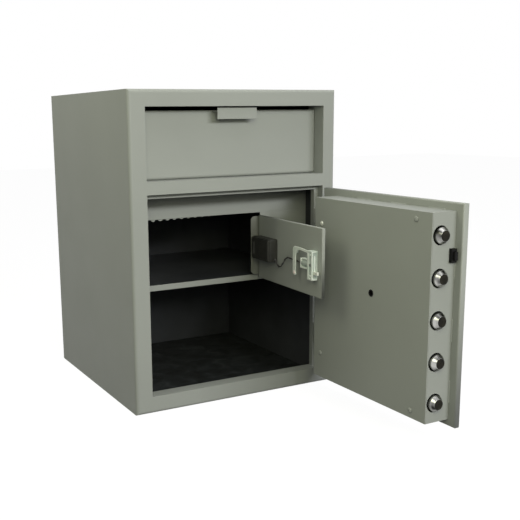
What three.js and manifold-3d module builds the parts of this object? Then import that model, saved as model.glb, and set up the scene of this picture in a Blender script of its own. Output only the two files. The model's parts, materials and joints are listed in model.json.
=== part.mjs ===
// Front-loading deposit safe: a steel cabinet with a tilt-out hopper on top, a locker with its own
// small door in the middle, an open compartment below, and one thick door with five locking bolts.
// Millimetres, +Z up. The origin is the centre of the footprint, on the underside of the base.
// The front faces -Y. At rest the main door stands open at a right angle and the locker door nearly so.
import * as THREE from 'three';
import { mergeVertices } from 'three/addons/utils/BufferGeometryUtils.js';
import Module from 'manifold-3d';

const wasm = await Module();
wasm.setup();

// Cabinet: 20 inches wide and deep, 27 inches high, of quarter-inch plate
const bodyWidth = 508;
const bodyDepth = 508;
const bodyHeight = 686;
const wall = 6;
const frontEdgeRadius = 8;
const anchorHoleRadius = 7;
const anchorHoleInset = 90;

// Front openings
const marginLeft = 37.5;
const marginRight = 32.5;
const sillHeight = 37.4;
const doorOpeningHeight = 434.2;
const bandHeight = 27.4;
const topRail = 34.9;

// Door frame behind the front plate
const frameWall = 6;
const frameDepth = 33;
const rabbetDepth = 19.5;
const stopWidth = 10;

// Main door
const doorGap = 2.5;
const doorThickness = 14.7;
const doorEdgeRadius = 3;
const doorOpenAngle = 90;
const hingeOffsetX = 11.8;
const hingeOffsetY = 12.1;

// Bolt box on the inside of the door
const boxInsetFree = 16.7;
const boxInsetHinge = 51.5;
const boxInsetTop = 14.7;
const boxInsetBottom = 13.8;
const boxDepth = 58.1;
const boxWall = 3;
const coverThickness = 2;
const coverScrewRadius = 5.5;
const coverScrewHead = 2.8;
const coverScrewLength = 8;
const coverScrewInset = 42.2;
const coverScrewHeightInset = 15;
const coverScrewHingeInset = 24.7;
const coverScrewHingeHeightInset = 55;

// Locking bolts, drawn back at rest
const boltCount = 5;
const boltRadius = 15.9;
const boltPitch = 79.9;
const boltLowest = 39;
const boltSetBack = 51.7;
const boltReach = 12.5;
const boltThrow = 15;
const boltChamfer = 7;
const boltClearance = 2.4;
const boltTail = 78;
const guideSetBack = 46;
const guideThickness = 4;
const guideClearance = 0.6;
const guideFoot = 16;
const guideGap = 3;
const carriageThickness = 6;
const carriageWidth = 34;
const carriageMargin = 19;
const bridgeThickness = 4;
const bridgeSetBack = 34;
const bridgeHeight = 46;
const bridgePastHandle = 22;
const shoulderWidth = 34;

// Handle and its cam
const handleX = 248;
const handleHeight = 195;
const cuffRadius = 20;
const cuffHeight = 9;
const spindleRadius = 8;
const leverHubRadius = 14;
const leverLength = 96;
const leverRadius = 8;
const leverReach = 50;
const camRadius = 17;
const camThickness = 7;
const camPinRadius = 4;
const camSlotClearance = 0.9;

// Combination lock
const dialX = 248;
const dialHeight = 290;
const dialRadius = 39;
const dialRingRadius = 46;
const dialRingHeight = 9;
const dialKnobRadius = 21;
const dialReach = 34;
const dialNeck = 13;
const dialFace = 8;
const dialSpindleRadius = 4;
const dialSpindleInLock = 8;
const hardPlateThickness = 4;
const hardPlateFreeMargin = 12;
const hardPlateHingeMargin = 22;
const hardPlateLowMargin = 34;
const hardPlateTopMargin = 8;
const lockWidth = 61;
const lockHeight = 83;
const lockDepth = 28;
const lockCentreX = 236;
const lockBottom = 240;
const lockBoltInset = 26;
const lockBoltPocket = 26;
const lockBoltWidth = 12;
const lockBoltThickness = 10;
const lockBoltReach = 4;
const lockBoltThrow = 8;
const changeKeyX = 224.8;
const changeKeyHeight = 276.7;
const changeKeyRadius = 5;
const changeKeyBushRadius = 7.5;

// Door trip, a sprung plunger beside the bolts
const tripWidth = 13;
const tripHeight = 26.5;
const tripHeightCentre = 373;
const tripProud = 7;
const tripInside = 20;
const tripFloor = 3;
const tripPlungerWidth = 7;
const tripPlungerHeight = 15;
const tripPlungerReach = 6;
const tripTravel = 5;

// Main door hinges
const knuckleRadius = 9;
const knuckleHeight = 38;
const pinRadius = 5;
const leafThickness = 8;
const strapLength = 46;
const hingeHeights = [118, 391];

// Locker
const lockerSetBack = 106.7;
const lockerPlate = 3;
const shelfHeight = 258.4;
const shelfLipHeight = 13.4;
const headerBottom = 406.3;
const latchStileWidth = 76;
const toothPitch = 17.5;
const toothDepth = 6.7;
const teethBarHeight = 22;
const teethDrop = 5;
const teethTilt = 1.35;

// Locker door
const innerAxisInset = 139.7;
const innerDoorGap = 3.3;
const innerDoorBottom = 253;
const innerDoorHeight = 148.5;
const innerDoorThickness = 8.2;
const innerDoorOpenAngle = 87;
const innerFlangeDepth = 21.5;
const innerFlangeThickness = 3;
const innerFlangeLift = 9;
const innerFlangeCorner = 9;
const innerKnuckleRadius = 4;
const innerPinRadius = 2;
const innerKnuckleHeight = 30;
const innerHingeInset = 14;

// Battery box and keypad on the locker door: along the door from its hinge, and above the base
const batteryStart = 15.5;
const batteryLength = 82;
const batteryBottom = 303.5;
const batteryHeight = 52;
const batteryDepth = 25;
const batteryLidDepth = 5;
const leadRadius = 1.9;
const leadDepth = 7;
const keypadStart = 95;
const keypadWidth = 70;
const keypadBottom = 288;
const keypadHeight = 78;
const keypadDepth = 9;
const keypadBorder = 8;
const membraneThickness = 1.2;

// Lock of the locker door: along the door from its free edge, and above the base
const innerLockInset = 16;
const innerLockLength = 19;
const innerLockBottom = 290.5;
const innerLockHeight = 62;
const innerLockDepth = 14;
const solenoidLength = 31.5;
const solenoidBottom = 311;
const solenoidHeight = 21;
const solenoidDepth = 12;
const bracketReach = 78.5;
const bracketWidth = 14;
const bracketArm = 8;
const bracketBottom = 291;
const bracketTop = 355;
const bracketStandOff = 12;
const bracketThickness = 2;
const latchHeight = 7;
const latchThickness = 5;
const latchDepth = 5;
const latchBottom = 303;
const innerKnobInset = 25.5;
const innerKnobHeight = 328;
const knobSpindleRadius = 4;
const innerKnobRadius = 12;
const innerKnobReach = 7.5;

// Hopper
const hopperSetBack = 35.7;
const hopperFrameDepth = 60;
const hopperFrameWall = 4;
const hopperPanelThickness = 4;
const hopperSideGap = 1;
const hopperTopGap = 8;
const hopperBottomGap = 0.8;
const hemRadius = 6;
const hopperPinRadius = 3;
const hopperPinInside = 14;
const bucketPlate = 2;
const bucketSideGap = 6;
const bucketTopGap = 11.3;
const bucketFloorAngle = 95;
const baffleStart = 40;
const baffleEnd = 72;
const pullWidth = 97;
const pullCentreX = 257.5;
const pullReach = 25.7;
const pullHeight = 24;
const pullTopGap = 3.1;
const pullThickness = 2.5;
const chuteFrontDrop = 8;
const chuteRearDrop = 61;
const chuteRearDepth = 330;
const chutePlate = 3;

// Clearances
const seat = 0.3;
const running = 0.1;
const matGap = 4;
const matThickness = 2.5;

// Faces of the cabinet that everything else is set from
const left = -bodyWidth / 2;
const right = bodyWidth / 2;
const front = -bodyDepth / 2;
const back = bodyDepth / 2;
const openLeft = left + marginLeft;
const openRight = right - marginRight;
const openBottom = sillHeight;
const openTop = openBottom + doorOpeningHeight;
const hopperBottom = openTop + bandHeight;
const hopperTop = bodyHeight - topRail;

const round = 40;
const smallRound = 24;
const weldTolerance = 1e-4;
const X = new THREE.Vector3(1, 0, 0);
const Y = new THREE.Vector3(0, 1, 0);
const Z = new THREE.Vector3(0, 0, 1);

function finish(colour, roughness, metalness) {
  return new THREE.MeshStandardMaterial({ color: colour, roughness, metalness });
}
const paint = finish(0x9b9c90, 0.45, 0.1);
const chrome = finish(0xc9cbcc, 0.12, 1);
const zinc = finish(0xaab5ae, 0.35, 0.9);
const steel = finish(0x8f9192, 0.4, 0.9);
const darkSteel = finish(0x4a4b4c, 0.5, 0.8);
const blackPlastic = finish(0x141413, 0.5, 0);
const rubber = finish(0x171717, 0.9, 0);
const matting = finish(0x1b1c1d, 0.95, 0);
const brass = finish(0xb08d4a, 0.35, 1);

// Solids from three.js geometries, joined and cut
function toManifold(geometry) {
  const bare = geometry.clone();
  bare.deleteAttribute('normal');
  bare.deleteAttribute('uv');
  const welded = mergeVertices(bare, weldTolerance);
  const corners = Array.from(welded.index.array);
  const triVerts = new Uint32Array(corners.filter((_, index) => {
    const [a, b, c] = corners.slice(index - index % 3, index - index % 3 + 3);
    return a !== b && b !== c && c !== a;
  }));
  return new wasm.Manifold(new wasm.Mesh({
    numProp: 3, vertProperties: welded.attributes.position.array, triVerts,
  }));
}

function toGeometry(manifold) {
  const mesh = manifold.getMesh();
  const geometry = new THREE.BufferGeometry();
  geometry.setAttribute('position', new THREE.BufferAttribute(mesh.vertProperties, 3));
  geometry.setIndex(new THREE.BufferAttribute(mesh.triVerts, 1));
  geometry.computeVertexNormals();
  return geometry;
}

function join(...pieces) {
  return toGeometry(pieces.map(toManifold).reduce((sum, piece) => sum.add(piece)));
}

function cut(base, ...tools) {
  return toGeometry(tools.map(toManifold).reduce((rest, tool) => rest.subtract(tool), toManifold(base)));
}

function box(x0, x1, y0, y1, z0, z1) {
  const geometry = new THREE.BoxGeometry(x1 - x0, y1 - y0, z1 - z0);
  return geometry.translate((x0 + x1) / 2, (y0 + y1) / 2, (z0 + z1) / 2);
}

function rodX(radius, x0, x1, y, z, sides = round) {
  const geometry = new THREE.CylinderGeometry(radius, radius, x1 - x0, sides);
  return geometry.rotateZ(Math.PI / 2).translate((x0 + x1) / 2, y, z);
}

function rodY(radius, y0, y1, x, z, sides = round) {
  const geometry = new THREE.CylinderGeometry(radius, radius, y1 - y0, sides);
  return geometry.translate(x, (y0 + y1) / 2, z);
}

function rodZ(radius, z0, z1, x, y, sides = round) {
  const geometry = new THREE.CylinderGeometry(radius, radius, z1 - z0, sides);
  return geometry.rotateX(Math.PI / 2).translate(x, y, (z0 + z1) / 2);
}

function rectangle(u0, u1, v0, v1) {
  const shape = new THREE.Shape();
  shape.moveTo(u0, v0);
  shape.lineTo(u1, v0);
  shape.lineTo(u1, v1);
  shape.lineTo(u0, v1);
  shape.closePath();
  return shape;
}

function roundedRectangle(u0, u1, v0, v1, radius) {
  const shape = new THREE.Shape();
  shape.moveTo(u0 + radius, v0);
  shape.lineTo(u1 - radius, v0);
  shape.absarc(u1 - radius, v0 + radius, radius, -Math.PI / 2, 0, false);
  shape.lineTo(u1, v1 - radius);
  shape.absarc(u1 - radius, v1 - radius, radius, 0, Math.PI / 2, false);
  shape.lineTo(u0 + radius, v1);
  shape.absarc(u0 + radius, v1 - radius, radius, Math.PI / 2, Math.PI, false);
  shape.lineTo(u0, v0 + radius);
  shape.absarc(u0 + radius, v0 + radius, radius, Math.PI, 1.5 * Math.PI, false);
  return shape;
}

function polygon(points) {
  const shape = new THREE.Shape();
  points.forEach(([u, v], index) => (index ? shape.lineTo(u, v) : shape.moveTo(u, v)));
  shape.closePath();
  return shape;
}

// A plate whose outline lies in XZ, from y0 to y1, with its long edges rounded if asked
function plateY(shape, y0, y1, edge = 0, edgeSteps = 4) {
  const settings = { depth: y1 - y0, bevelEnabled: false, curveSegments: 6 };
  if (edge > 0) {
    settings.depth = y1 - y0 - 2 * edge;
    settings.bevelEnabled = true;
    settings.bevelThickness = edge;
    settings.bevelSize = edge;
    settings.bevelOffset = -edge;
    settings.bevelSegments = edgeSteps;
  }
  const geometry = new THREE.ExtrudeGeometry(shape, settings);
  geometry.translate(0, 0, edge);
  geometry.applyMatrix4(new THREE.Matrix4().makeBasis(X, Z, Y.clone().negate()));
  return geometry.translate(0, y1, 0);
}

// A plate whose outline lies in YZ, from x0 to x1
function plateX(shape, x0, x1) {
  const settings = { depth: x1 - x0, bevelEnabled: false, curveSegments: 6 };
  const geometry = new THREE.ExtrudeGeometry(shape, settings);
  geometry.applyMatrix4(new THREE.Matrix4().makeBasis(Y, Z, X));
  return geometry.translate(x0, 0, 0);
}

// A turned piece about Y: profile points are [radius, y] and run up or down one side of the section
function turned(profile, sides = round) {
  const area = profile.reduce((sum, [r, y], index) => {
    const [nextR, nextY] = profile[(index + 1) % profile.length];
    return sum + r * nextY - nextR * y;
  }, 0);
  const ordered = area > 0 ? profile : [...profile].reverse();
  const lathe = new THREE.LatheGeometry(ordered.map(([r, y]) => new THREE.Vector2(r, y)), sides);
  return toGeometry(toManifold(lathe));
}

const safe = new THREE.Group();

function place(parent, name, geometry, material) {
  const mesh = new THREE.Mesh(geometry, material);
  mesh.name = name;
  parent.add(mesh);
  return mesh;
}

// A group whose pieces are written in their closed places and stand swung open about a vertical axis
function swungGroup(axisX, axisY, degrees) {
  const pivot = new THREE.Group();
  pivot.position.set(axisX, axisY, 0);
  pivot.rotation.z = THREE.MathUtils.degToRad(degrees);
  const closed = new THREE.Group();
  closed.position.set(-axisX, -axisY, 0);
  pivot.add(closed);
  safe.add(pivot);
  return closed;
}

// Cabinet shell: the sides, top, base and back, with the front plate bent round from them
function bodyShell() {
  const outline = rectangle(left, right, 0, bodyHeight);
  const block = plateY(outline, front, back + frontEdgeRadius, frontEdgeRadius, 8);
  const tail = box(left - 1, right + 1, back, back + 2 * frontEdgeRadius, -1, bodyHeight + 1);
  const inside = box(left + wall, right - wall, front + wall, back - wall, wall, bodyHeight - wall);
  const doorHole = box(openLeft, openRight, front - 1, front + wall + 1, openBottom, openTop);
  const hopperHole = box(openLeft, openRight, front - 1, front + wall + 1, hopperBottom, hopperTop);
  const anchors = [];
  for (const x of [left + anchorHoleInset, right - anchorHoleInset]) {
    for (const y of [front + anchorHoleInset, back - anchorHoleInset]) {
      anchors.push(rodZ(anchorHoleRadius, -1, wall + 1, x, y, smallRound));
    }
  }
  return cut(block, tail, inside, doorHole, hopperHole, ...anchors);
}
place(safe, 'body_shell', bodyShell(), paint);

// Door frame: a sill and latch jamb at full depth, and a step that stops the door at top and hinge side
function frontFrame() {
  const y0 = front + wall;
  const y1 = front + frameDepth;
  const t = frameWall;
  const ring = box(openLeft - t, openRight + t, y0, y1, openBottom - t, openTop + t);
  const through = box(openLeft, openRight - stopWidth, y0 - 1, y1 + 1, openBottom, openTop - stopWidth);
  const rabbet = box(openLeft, openRight, y0 - 1, front + rabbetDepth, openBottom, openTop);
  return cut(ring, through, rabbet);
}
place(safe, 'front_frame', frontFrame(), paint);

// Hopper frame: the return round the hopper opening, bored for the two pivot pins
const hopperPanelFront = front + hopperSetBack;
const hopperAxisY = hopperPanelFront + hemRadius;
const hopperAxisZ = hopperBottom + hopperBottomGap + hemRadius;
function hopperFrame() {
  const y0 = front + wall;
  const y1 = front + hopperFrameDepth;
  const t = hopperFrameWall;
  const ring = box(openLeft - t, openRight + t, y0, y1, hopperBottom - t, hopperTop + t);
  const through = box(openLeft, openRight, y0 - 1, y1 + 1, hopperBottom, hopperTop);
  const boreRadius = hopperPinRadius + running;
  const bore = rodX(boreRadius, openLeft - t - 1, openRight + t + 1, hopperAxisY, hopperAxisZ, smallRound);
  return cut(ring, through, bore);
}
place(safe, 'hopper_frame', hopperFrame(), paint);

// Deposit chute: a sloping plate under the hopper that ends short of the back, over the locker
const chuteRear = front + chuteRearDepth;
function chuteTop(y) {
  const share = (y - front - wall) / (chuteRear - front - wall);
  return hopperBottom - chuteFrontDrop - share * (chuteRearDrop - chuteFrontDrop);
}
function depositChute() {
  const y0 = front + wall;
  const outline = polygon([
    [y0, chuteTop(y0) - chutePlate], [chuteRear, chuteTop(chuteRear) - chutePlate],
    [chuteRear, chuteTop(chuteRear)], [y0, chuteTop(y0)],
  ]);
  return plateX(outline, left + wall, right - wall);
}
place(safe, 'deposit_chute', depositChute(), paint);

// Locker: header above the small door, shelf with its folded lip, and a stile at each side
const lockerFront = front + lockerSetBack;
const lockerInner = lockerFront + lockerPlate;
const headerTop = chuteTop(lockerInner) - chutePlate - seat;
place(safe, 'locker_header', box(left + wall, right - wall, lockerFront, lockerInner,
  headerBottom, headerTop), paint);

function lockerShelf() {
  const underside = shelfHeight - lockerPlate;
  const plate = box(left + wall, right - wall, lockerFront, back - wall, underside, shelfHeight);
  const lipBottom = shelfHeight - shelfLipHeight;
  const lip = box(left + wall, right - wall, lockerFront, lockerInner, lipBottom, shelfHeight);
  return join(plate, lip);
}
place(safe, 'locker_shelf', lockerShelf(), paint);

const innerAxisX = right - innerAxisInset;
const innerAxisY = lockerFront - innerDoorThickness - 0.5;
const hingeStileEdge = innerAxisX + innerKnuckleRadius;
const latchStileEdge = left + wall + latchStileWidth;
place(safe, 'latch_stile', box(left + wall, latchStileEdge, lockerFront, lockerInner,
  shelfHeight, headerBottom), paint);
place(safe, 'hinge_stile', box(hingeStileEdge, right - wall, lockerFront, lockerInner,
  shelfHeight, headerBottom), paint);

// Anti-fishing bar: a toothed strip behind the header, fixed a little askew
function teethBar() {
  const length = bodyWidth - 2 * wall - 12;
  const count = Math.floor(length / toothPitch);
  const radius = toothPitch / 2;
  const shape = new THREE.Shape();
  shape.moveTo(0, teethBarHeight);
  shape.lineTo(0, 0);
  for (let tooth = 0; tooth < count; tooth += 1) {
    const start = tooth * toothPitch;
    shape.quadraticCurveTo(start + 0.5 * radius, 0, start + 0.8 * radius, toothDepth * 0.85);
    shape.quadraticCurveTo(start + radius, toothDepth, start + 1.2 * radius, toothDepth * 0.85);
    shape.quadraticCurveTo(start + 1.5 * radius, 0, start + toothPitch, 0);
  }
  shape.lineTo(count * toothPitch, teethBarHeight);
  shape.closePath();
  const settings = { depth: lockerPlate - 1, bevelEnabled: false, curveSegments: 3 };
  const geometry = new THREE.ExtrudeGeometry(shape, settings);
  return geometry.applyMatrix4(new THREE.Matrix4().makeBasis(X, Z, Y.clone().negate()));
}
const teeth = place(safe, 'header_teeth', teethBar(), paint);
teeth.position.set(left + wall + 4, lockerInner + lockerPlate - 1 + seat, headerBottom - teethDrop - 1.7);
teeth.rotation.y = -THREE.MathUtils.degToRad(teethTilt);

// Floor mat, cut a little smaller than the compartment
place(safe, 'floor_mat', box(left + wall + matGap, right - wall - matGap, front + frameDepth + matGap,
  back - wall - 2 * matGap, wall, wall + matThickness), matting);

// Main door hinges: a fixed knuckle and pin on the cabinet, and a lift-on knuckle with a strap on the door
const axisX = openRight + hingeOffsetX;
const axisY = front - hingeOffsetY;
const mainDoor = swungGroup(axisX, axisY, doorOpenAngle);
hingeHeights.forEach((height, index) => {
  const side = index ? 'upper' : 'lower';
  const low = height - knuckleHeight;
  const high = height + knuckleHeight;
  const bore = rodZ(pinRadius + running, low - 1, high + 1, axisX, axisY);
  const fixed = join(
    rodZ(knuckleRadius, low, height - seat, axisX, axisY),
    box(axisX - knuckleRadius, axisX + knuckleRadius, axisY, front, low, height - seat),
  );
  place(safe, `body_hinge_${side}`, cut(fixed, bore), steel);
  const pin = rodZ(pinRadius, low + 4, high - 4, axisX, axisY);
  place(safe, `hinge_pin_${side}`, pin, steel);
  const strapFront = front - leafThickness;
  const strapEnd = axisX - strapLength - hingeOffsetX;
  const moving = join(
    rodZ(knuckleRadius, height + seat, high, axisX, axisY),
    box(strapEnd, axisX, strapFront, front - seat, height + seat, high),
  );
  place(mainDoor, `door_hinge_${side}`, cut(moving, bore), steel);
});

// Door plate: solid steel with eased edges, drilled for the dial and the handle
const plateLeft = openLeft + doorGap;
const plateRight = openRight - doorGap;
const plateBottom = openBottom + doorGap;
const plateTop = openTop - doorGap;
const plateBack = front + doorThickness;
const spindleX = left + dialX;
const leverX = left + handleX;
function doorPlate() {
  const outline = rectangle(plateLeft, plateRight, plateBottom, plateTop);
  return cut(
    plateY(outline, front, plateBack, doorEdgeRadius),
    rodY(dialSpindleRadius + 0.5, front - 1, plateBack + 1, spindleX, dialHeight, smallRound),
    rodY(spindleRadius + 0.5, front - 1, plateBack + 1, leverX, handleHeight, smallRound),
  );
}
place(mainDoor, 'door_plate', doorPlate(), paint);

// Bolt box: four folded walls welded to the plate, with five holes in the free side
const boxLeft = plateLeft + boxInsetFree;
const boxRight = plateRight - boxInsetHinge;
const boxBottom = plateBottom + boxInsetBottom;
const boxTop = plateTop - boxInsetTop;
const boxBack = plateBack + boxDepth;
const coverFront = boxBack - coverThickness;
const boltY = front + boltSetBack;
const lowestBolt = boxBottom + boltLowest;
const boltHeights = Array.from({ length: boltCount }, (_, index) => lowestBolt + index * boltPitch);
const tripSlotFront = plateBack + 2;
function boltBox() {
  const y0 = plateBack + seat;
  const y1 = coverFront - seat;
  const outer = box(boxLeft, boxRight, y0, y1, boxBottom, boxTop);
  const inner = box(boxLeft + boxWall, boxRight - boxWall, y0 - 1, y1 + 1,
    boxBottom + boxWall, boxTop - boxWall);
  const holeRadius = boltRadius + boltClearance;
  const holes = boltHeights.map((z) => rodX(holeRadius, boxLeft - 1, boxLeft + boxWall + 1, boltY, z));
  const tripHole = box(boxLeft - 1, boxLeft + boxWall + 1, tripSlotFront, tripSlotFront + tripWidth,
    tripHeightCentre - tripHeight / 2, tripHeightCentre + tripHeight / 2);
  return cut(outer, inner, ...holes, tripHole);
}
place(mainDoor, 'bolt_box', boltBox(), paint);

// Cover of the bolt box, with the change-key hole and four screws
const coverScrews = [
  [boxLeft + coverScrewInset, boxTop - coverScrewHeightInset],
  [boxLeft + coverScrewInset, boxBottom + coverScrewHeightInset],
  [boxRight - coverScrewHingeInset, boxTop - coverScrewHingeHeightInset],
  [boxRight - coverScrewHingeInset, boxBottom + coverScrewHingeHeightInset],
];
const screwShank = coverScrewRadius / 2;
const keyHoleX = left + changeKeyX;
function backPanel() {
  const outline = rectangle(boxLeft, boxRight, boxBottom, boxTop);
  return cut(
    plateY(outline, coverFront, boxBack),
    rodY(changeKeyBushRadius - 1, coverFront - 1, boxBack + 1, keyHoleX, changeKeyHeight, smallRound),
    ...coverScrews.map(([x, z]) => rodY(screwShank + seat, coverFront - 1, boxBack + 1, x, z, smallRound)),
  );
}
place(mainDoor, 'back_panel', backPanel(), paint);

function panelScrew(x, z) {
  const dome = [0.15, 0.45, 0.7, 0.88].map((share) => [
    coverScrewRadius * Math.sqrt(1 - share * share), seat + (coverScrewHead - seat) * share,
  ]);
  const profile = [
    [0, -coverScrewLength], [screwShank, -coverScrewLength], [screwShank, seat],
    [coverScrewRadius, seat], ...dome, [0, coverScrewHead],
  ];
  return turned(profile, smallRound).translate(x, boxBack, z);
}
coverScrews.forEach(([x, z], index) => place(mainDoor, `panel_screw_${index + 1}`, panelScrew(x, z), zinc));

function changeKeyBush() {
  const inner = changeKeyRadius;
  const rim = 1.2;
  const sleeve = changeKeyBushRadius - 1 - seat;
  const inside = -coverThickness - 1;
  const profile = [
    [inner, inside], [sleeve, inside], [sleeve, seat], [changeKeyBushRadius, seat],
    [changeKeyBushRadius - rim / 2, rim], [inner, rim], [inner, inside],
  ];
  return turned(profile, smallRound).translate(keyHoleX, boxBack, changeKeyHeight);
}
place(mainDoor, 'change_key_bush', changeKeyBush(), blackPlastic);

// Hard plate and combination lock case behind the door plate
const hardPlateFront = plateBack + seat;
const hardPlateBack = hardPlateFront + hardPlateThickness;
const lockFront = hardPlateBack + seat;
const lockLeft = left + lockCentreX - lockWidth / 2;
const lockRight = lockLeft + lockWidth;
const lockTop = lockBottom + lockHeight;
function hardPlate() {
  const plate = box(lockLeft - hardPlateFreeMargin, lockRight + hardPlateHingeMargin,
    hardPlateFront, hardPlateBack, handleHeight - hardPlateLowMargin, lockTop + hardPlateTopMargin);
  return cut(
    plate,
    rodY(dialSpindleRadius + 0.5, hardPlateFront - 1, hardPlateBack + 1, spindleX, dialHeight, smallRound),
    rodY(spindleRadius + 0.5, hardPlateFront - 1, hardPlateBack + 1, leverX, handleHeight, smallRound),
  );
}
place(mainDoor, 'hard_plate', hardPlate(), darkSteel);

const lockBoltX = lockLeft + lockBoltInset;
const lockBoltFront = front + bridgeSetBack - 3;
function lockCase() {
  const y1 = lockFront + lockDepth;
  return cut(
    plateY(roundedRectangle(lockLeft, lockRight, lockBottom, lockTop, 6), lockFront, y1),
    rodY(dialSpindleRadius + 0.5, lockFront - 1, lockFront + 12, spindleX, dialHeight, smallRound),
    box(lockBoltX - seat, lockBoltX + lockBoltWidth + seat, lockBoltFront - seat,
      lockBoltFront + lockBoltThickness + seat, lockBottom - 1, lockBottom + lockBoltPocket + seat),
    rodY(changeKeyRadius - 1, y1 - 6, y1 + 1, keyHoleX, changeKeyHeight, smallRound),
  );
}
place(mainDoor, 'lock_case', lockCase(), zinc);

// Lock bolt: rests just above the carriage's shoulder and drops behind it as the bolts are thrown
const lockBoltTop = lockBottom + lockBoltPocket - lockBoltThrow;
place(mainDoor, 'lock_bolt', box(lockBoltX, lockBoltX + lockBoltWidth,
  lockBoltFront, lockBoltFront + lockBoltThickness, lockBottom - lockBoltReach, lockBoltTop), brass);

// Five locking bolts with bevelled noses, and the guide that carries their tails
function lockingBolt(z) {
  const tail = boltReach + boltTail;
  const noseRadius = boltRadius - boltChamfer * 0.75;
  const profile = [[0, -tail], [boltRadius, -tail], [boltRadius, -boltChamfer], [noseRadius, 0], [0, 0]];
  return turned(profile).rotateZ(Math.PI / 2).translate(boxLeft - boltReach, boltY, z);
}
boltHeights.forEach((z, index) => place(mainDoor, `locking_bolt_${index + 1}`, lockingBolt(z), chrome));

const guideX = boxLeft + guideSetBack;
const guideBack = coverFront - guideGap;
function boltGuide() {
  const y0 = plateBack + seat;
  const z0 = boxBottom + boxWall + seat;
  const z1 = boxTop - boxWall - seat;
  const upright = box(guideX, guideX + guideThickness, y0, guideBack, z0, z1);
  const foot = box(guideX, guideX + guideFoot, y0, y0 + guideThickness, z0, z1);
  const holeRadius = boltRadius + guideClearance;
  const holes = boltHeights.map((z) => rodX(holeRadius, guideX - 1, guideX + guideThickness + 1, boltY, z));
  return cut(join(upright, foot), ...holes);
}
place(mainDoor, 'bolt_guide', boltGuide(), steel);

// Bolt carriage: an upright bar on the bolts' tails, with a bridge to the handle's cam
const carriageX = boxLeft + boltTail;
const bridgeFront = front + bridgeSetBack;
const bridgeBack = bridgeFront + bridgeThickness;
const bridgeTop = lockBottom - lockBoltReach - 4;
const camPinThrow = boltThrow / 2;
const camPinOrbit = camPinThrow * Math.SQRT2;
function boltCarriage() {
  const barBottom = boltHeights[0] - carriageMargin;
  const barTop = boltHeights[boltCount - 1] + carriageMargin;
  const bar = box(carriageX, carriageX + carriageThickness,
    boltY - carriageWidth / 2, boltY + carriageWidth / 2, barBottom, barTop);
  const bridgeLow = handleHeight - bridgeHeight / 2;
  const bridgeHigh = handleHeight + bridgeHeight / 2;
  const bridge = box(carriageX, leverX + bridgePastHandle, bridgeFront, bridgeBack, bridgeLow, bridgeHigh);
  const shoulderEnd = lockBoltX + camPinThrow - 2;
  const shoulder = box(shoulderEnd - shoulderWidth, shoulderEnd, bridgeFront, bridgeBack,
    bridgeHigh - 1, bridgeTop);
  const slotX = leverX + camPinThrow;
  const slotHalf = camPinRadius + camSlotClearance;
  const slot = box(slotX - slotHalf, slotX + slotHalf, bridgeFront - 1, bridgeBack + 1,
    handleHeight + camPinThrow - slotHalf, handleHeight + camPinOrbit + slotHalf);
  return cut(join(bar, bridge, shoulder), slot);
}
place(mainDoor, 'bolt_carriage', boltCarriage(), steel);

// Handle: a cuff on the plate, a lever that hangs at rest, and a spindle with the cam and its pin
function handleCuff() {
  const inner = spindleRadius + 0.5;
  const profile = [
    [inner, -cuffHeight], [cuffRadius - 3, -cuffHeight], [cuffRadius, -cuffHeight + 3],
    [cuffRadius, -seat], [inner, -seat], [inner, -cuffHeight],
  ];
  return turned(profile).translate(leverX, front, handleHeight);
}
place(mainDoor, 'handle_cuff', handleCuff(), chrome);

const leverFront = front - cuffHeight - seat;
function handleLever() {
  const hub = rodY(leverHubRadius, front - leverReach, leverFront, leverX, handleHeight);
  const armY = front - leverReach + leverRadius;
  const arm = rodZ(leverRadius, handleHeight - leverLength, handleHeight, leverX, armY);
  const tip = new THREE.SphereGeometry(leverRadius, round, 12).rotateX(Math.PI / 2);
  tip.translate(leverX, armY, handleHeight - leverLength);
  return join(hub, arm, tip);
}
place(mainDoor, 'handle_lever', handleLever(), chrome);

function handleSpindle() {
  const discFront = hardPlateBack + 2;
  const discBack = discFront + camThickness;
  const shaft = rodY(spindleRadius, leverFront + seat, discBack, leverX, handleHeight);
  const disc = rodY(camRadius, discFront, discBack, leverX, handleHeight);
  const pinX = leverX + camPinThrow;
  const pinZ = handleHeight + camPinThrow;
  const pin = rodY(camPinRadius, discBack - 1, bridgeBack + 2, pinX, pinZ, smallRound);
  return join(shaft, disc, pin);
}
place(mainDoor, 'handle_spindle', handleSpindle(), steel);

// Dial and its ring
function dialRing() {
  const inner = dialRadius + 1;
  const profile = [
    [inner, -seat], [dialRingRadius, -seat], [dialRingRadius, -dialRingHeight + 3],
    [dialRingRadius - 3, -dialRingHeight], [inner, -dialRingHeight], [inner, -seat],
  ];
  return turned(profile).translate(spindleX, front, dialHeight);
}
place(mainDoor, 'dial_ring', dialRing(), chrome);

function combinationDial() {
  const rear = hardPlateBack + dialSpindleInLock - front;
  const profile = [
    [0, -dialReach], [dialKnobRadius - 2, -dialReach], [dialKnobRadius, -dialReach + 2],
    [dialKnobRadius, -dialNeck], [dialRadius - 3, -dialFace], [dialRadius, -2], [dialRadius, -1],
    [dialSpindleRadius, -1], [dialSpindleRadius, rear], [0, rear],
  ];
  return turned(profile).translate(spindleX, front, dialHeight);
}
place(mainDoor, 'combination_dial', combinationDial(), darkSteel);

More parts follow.
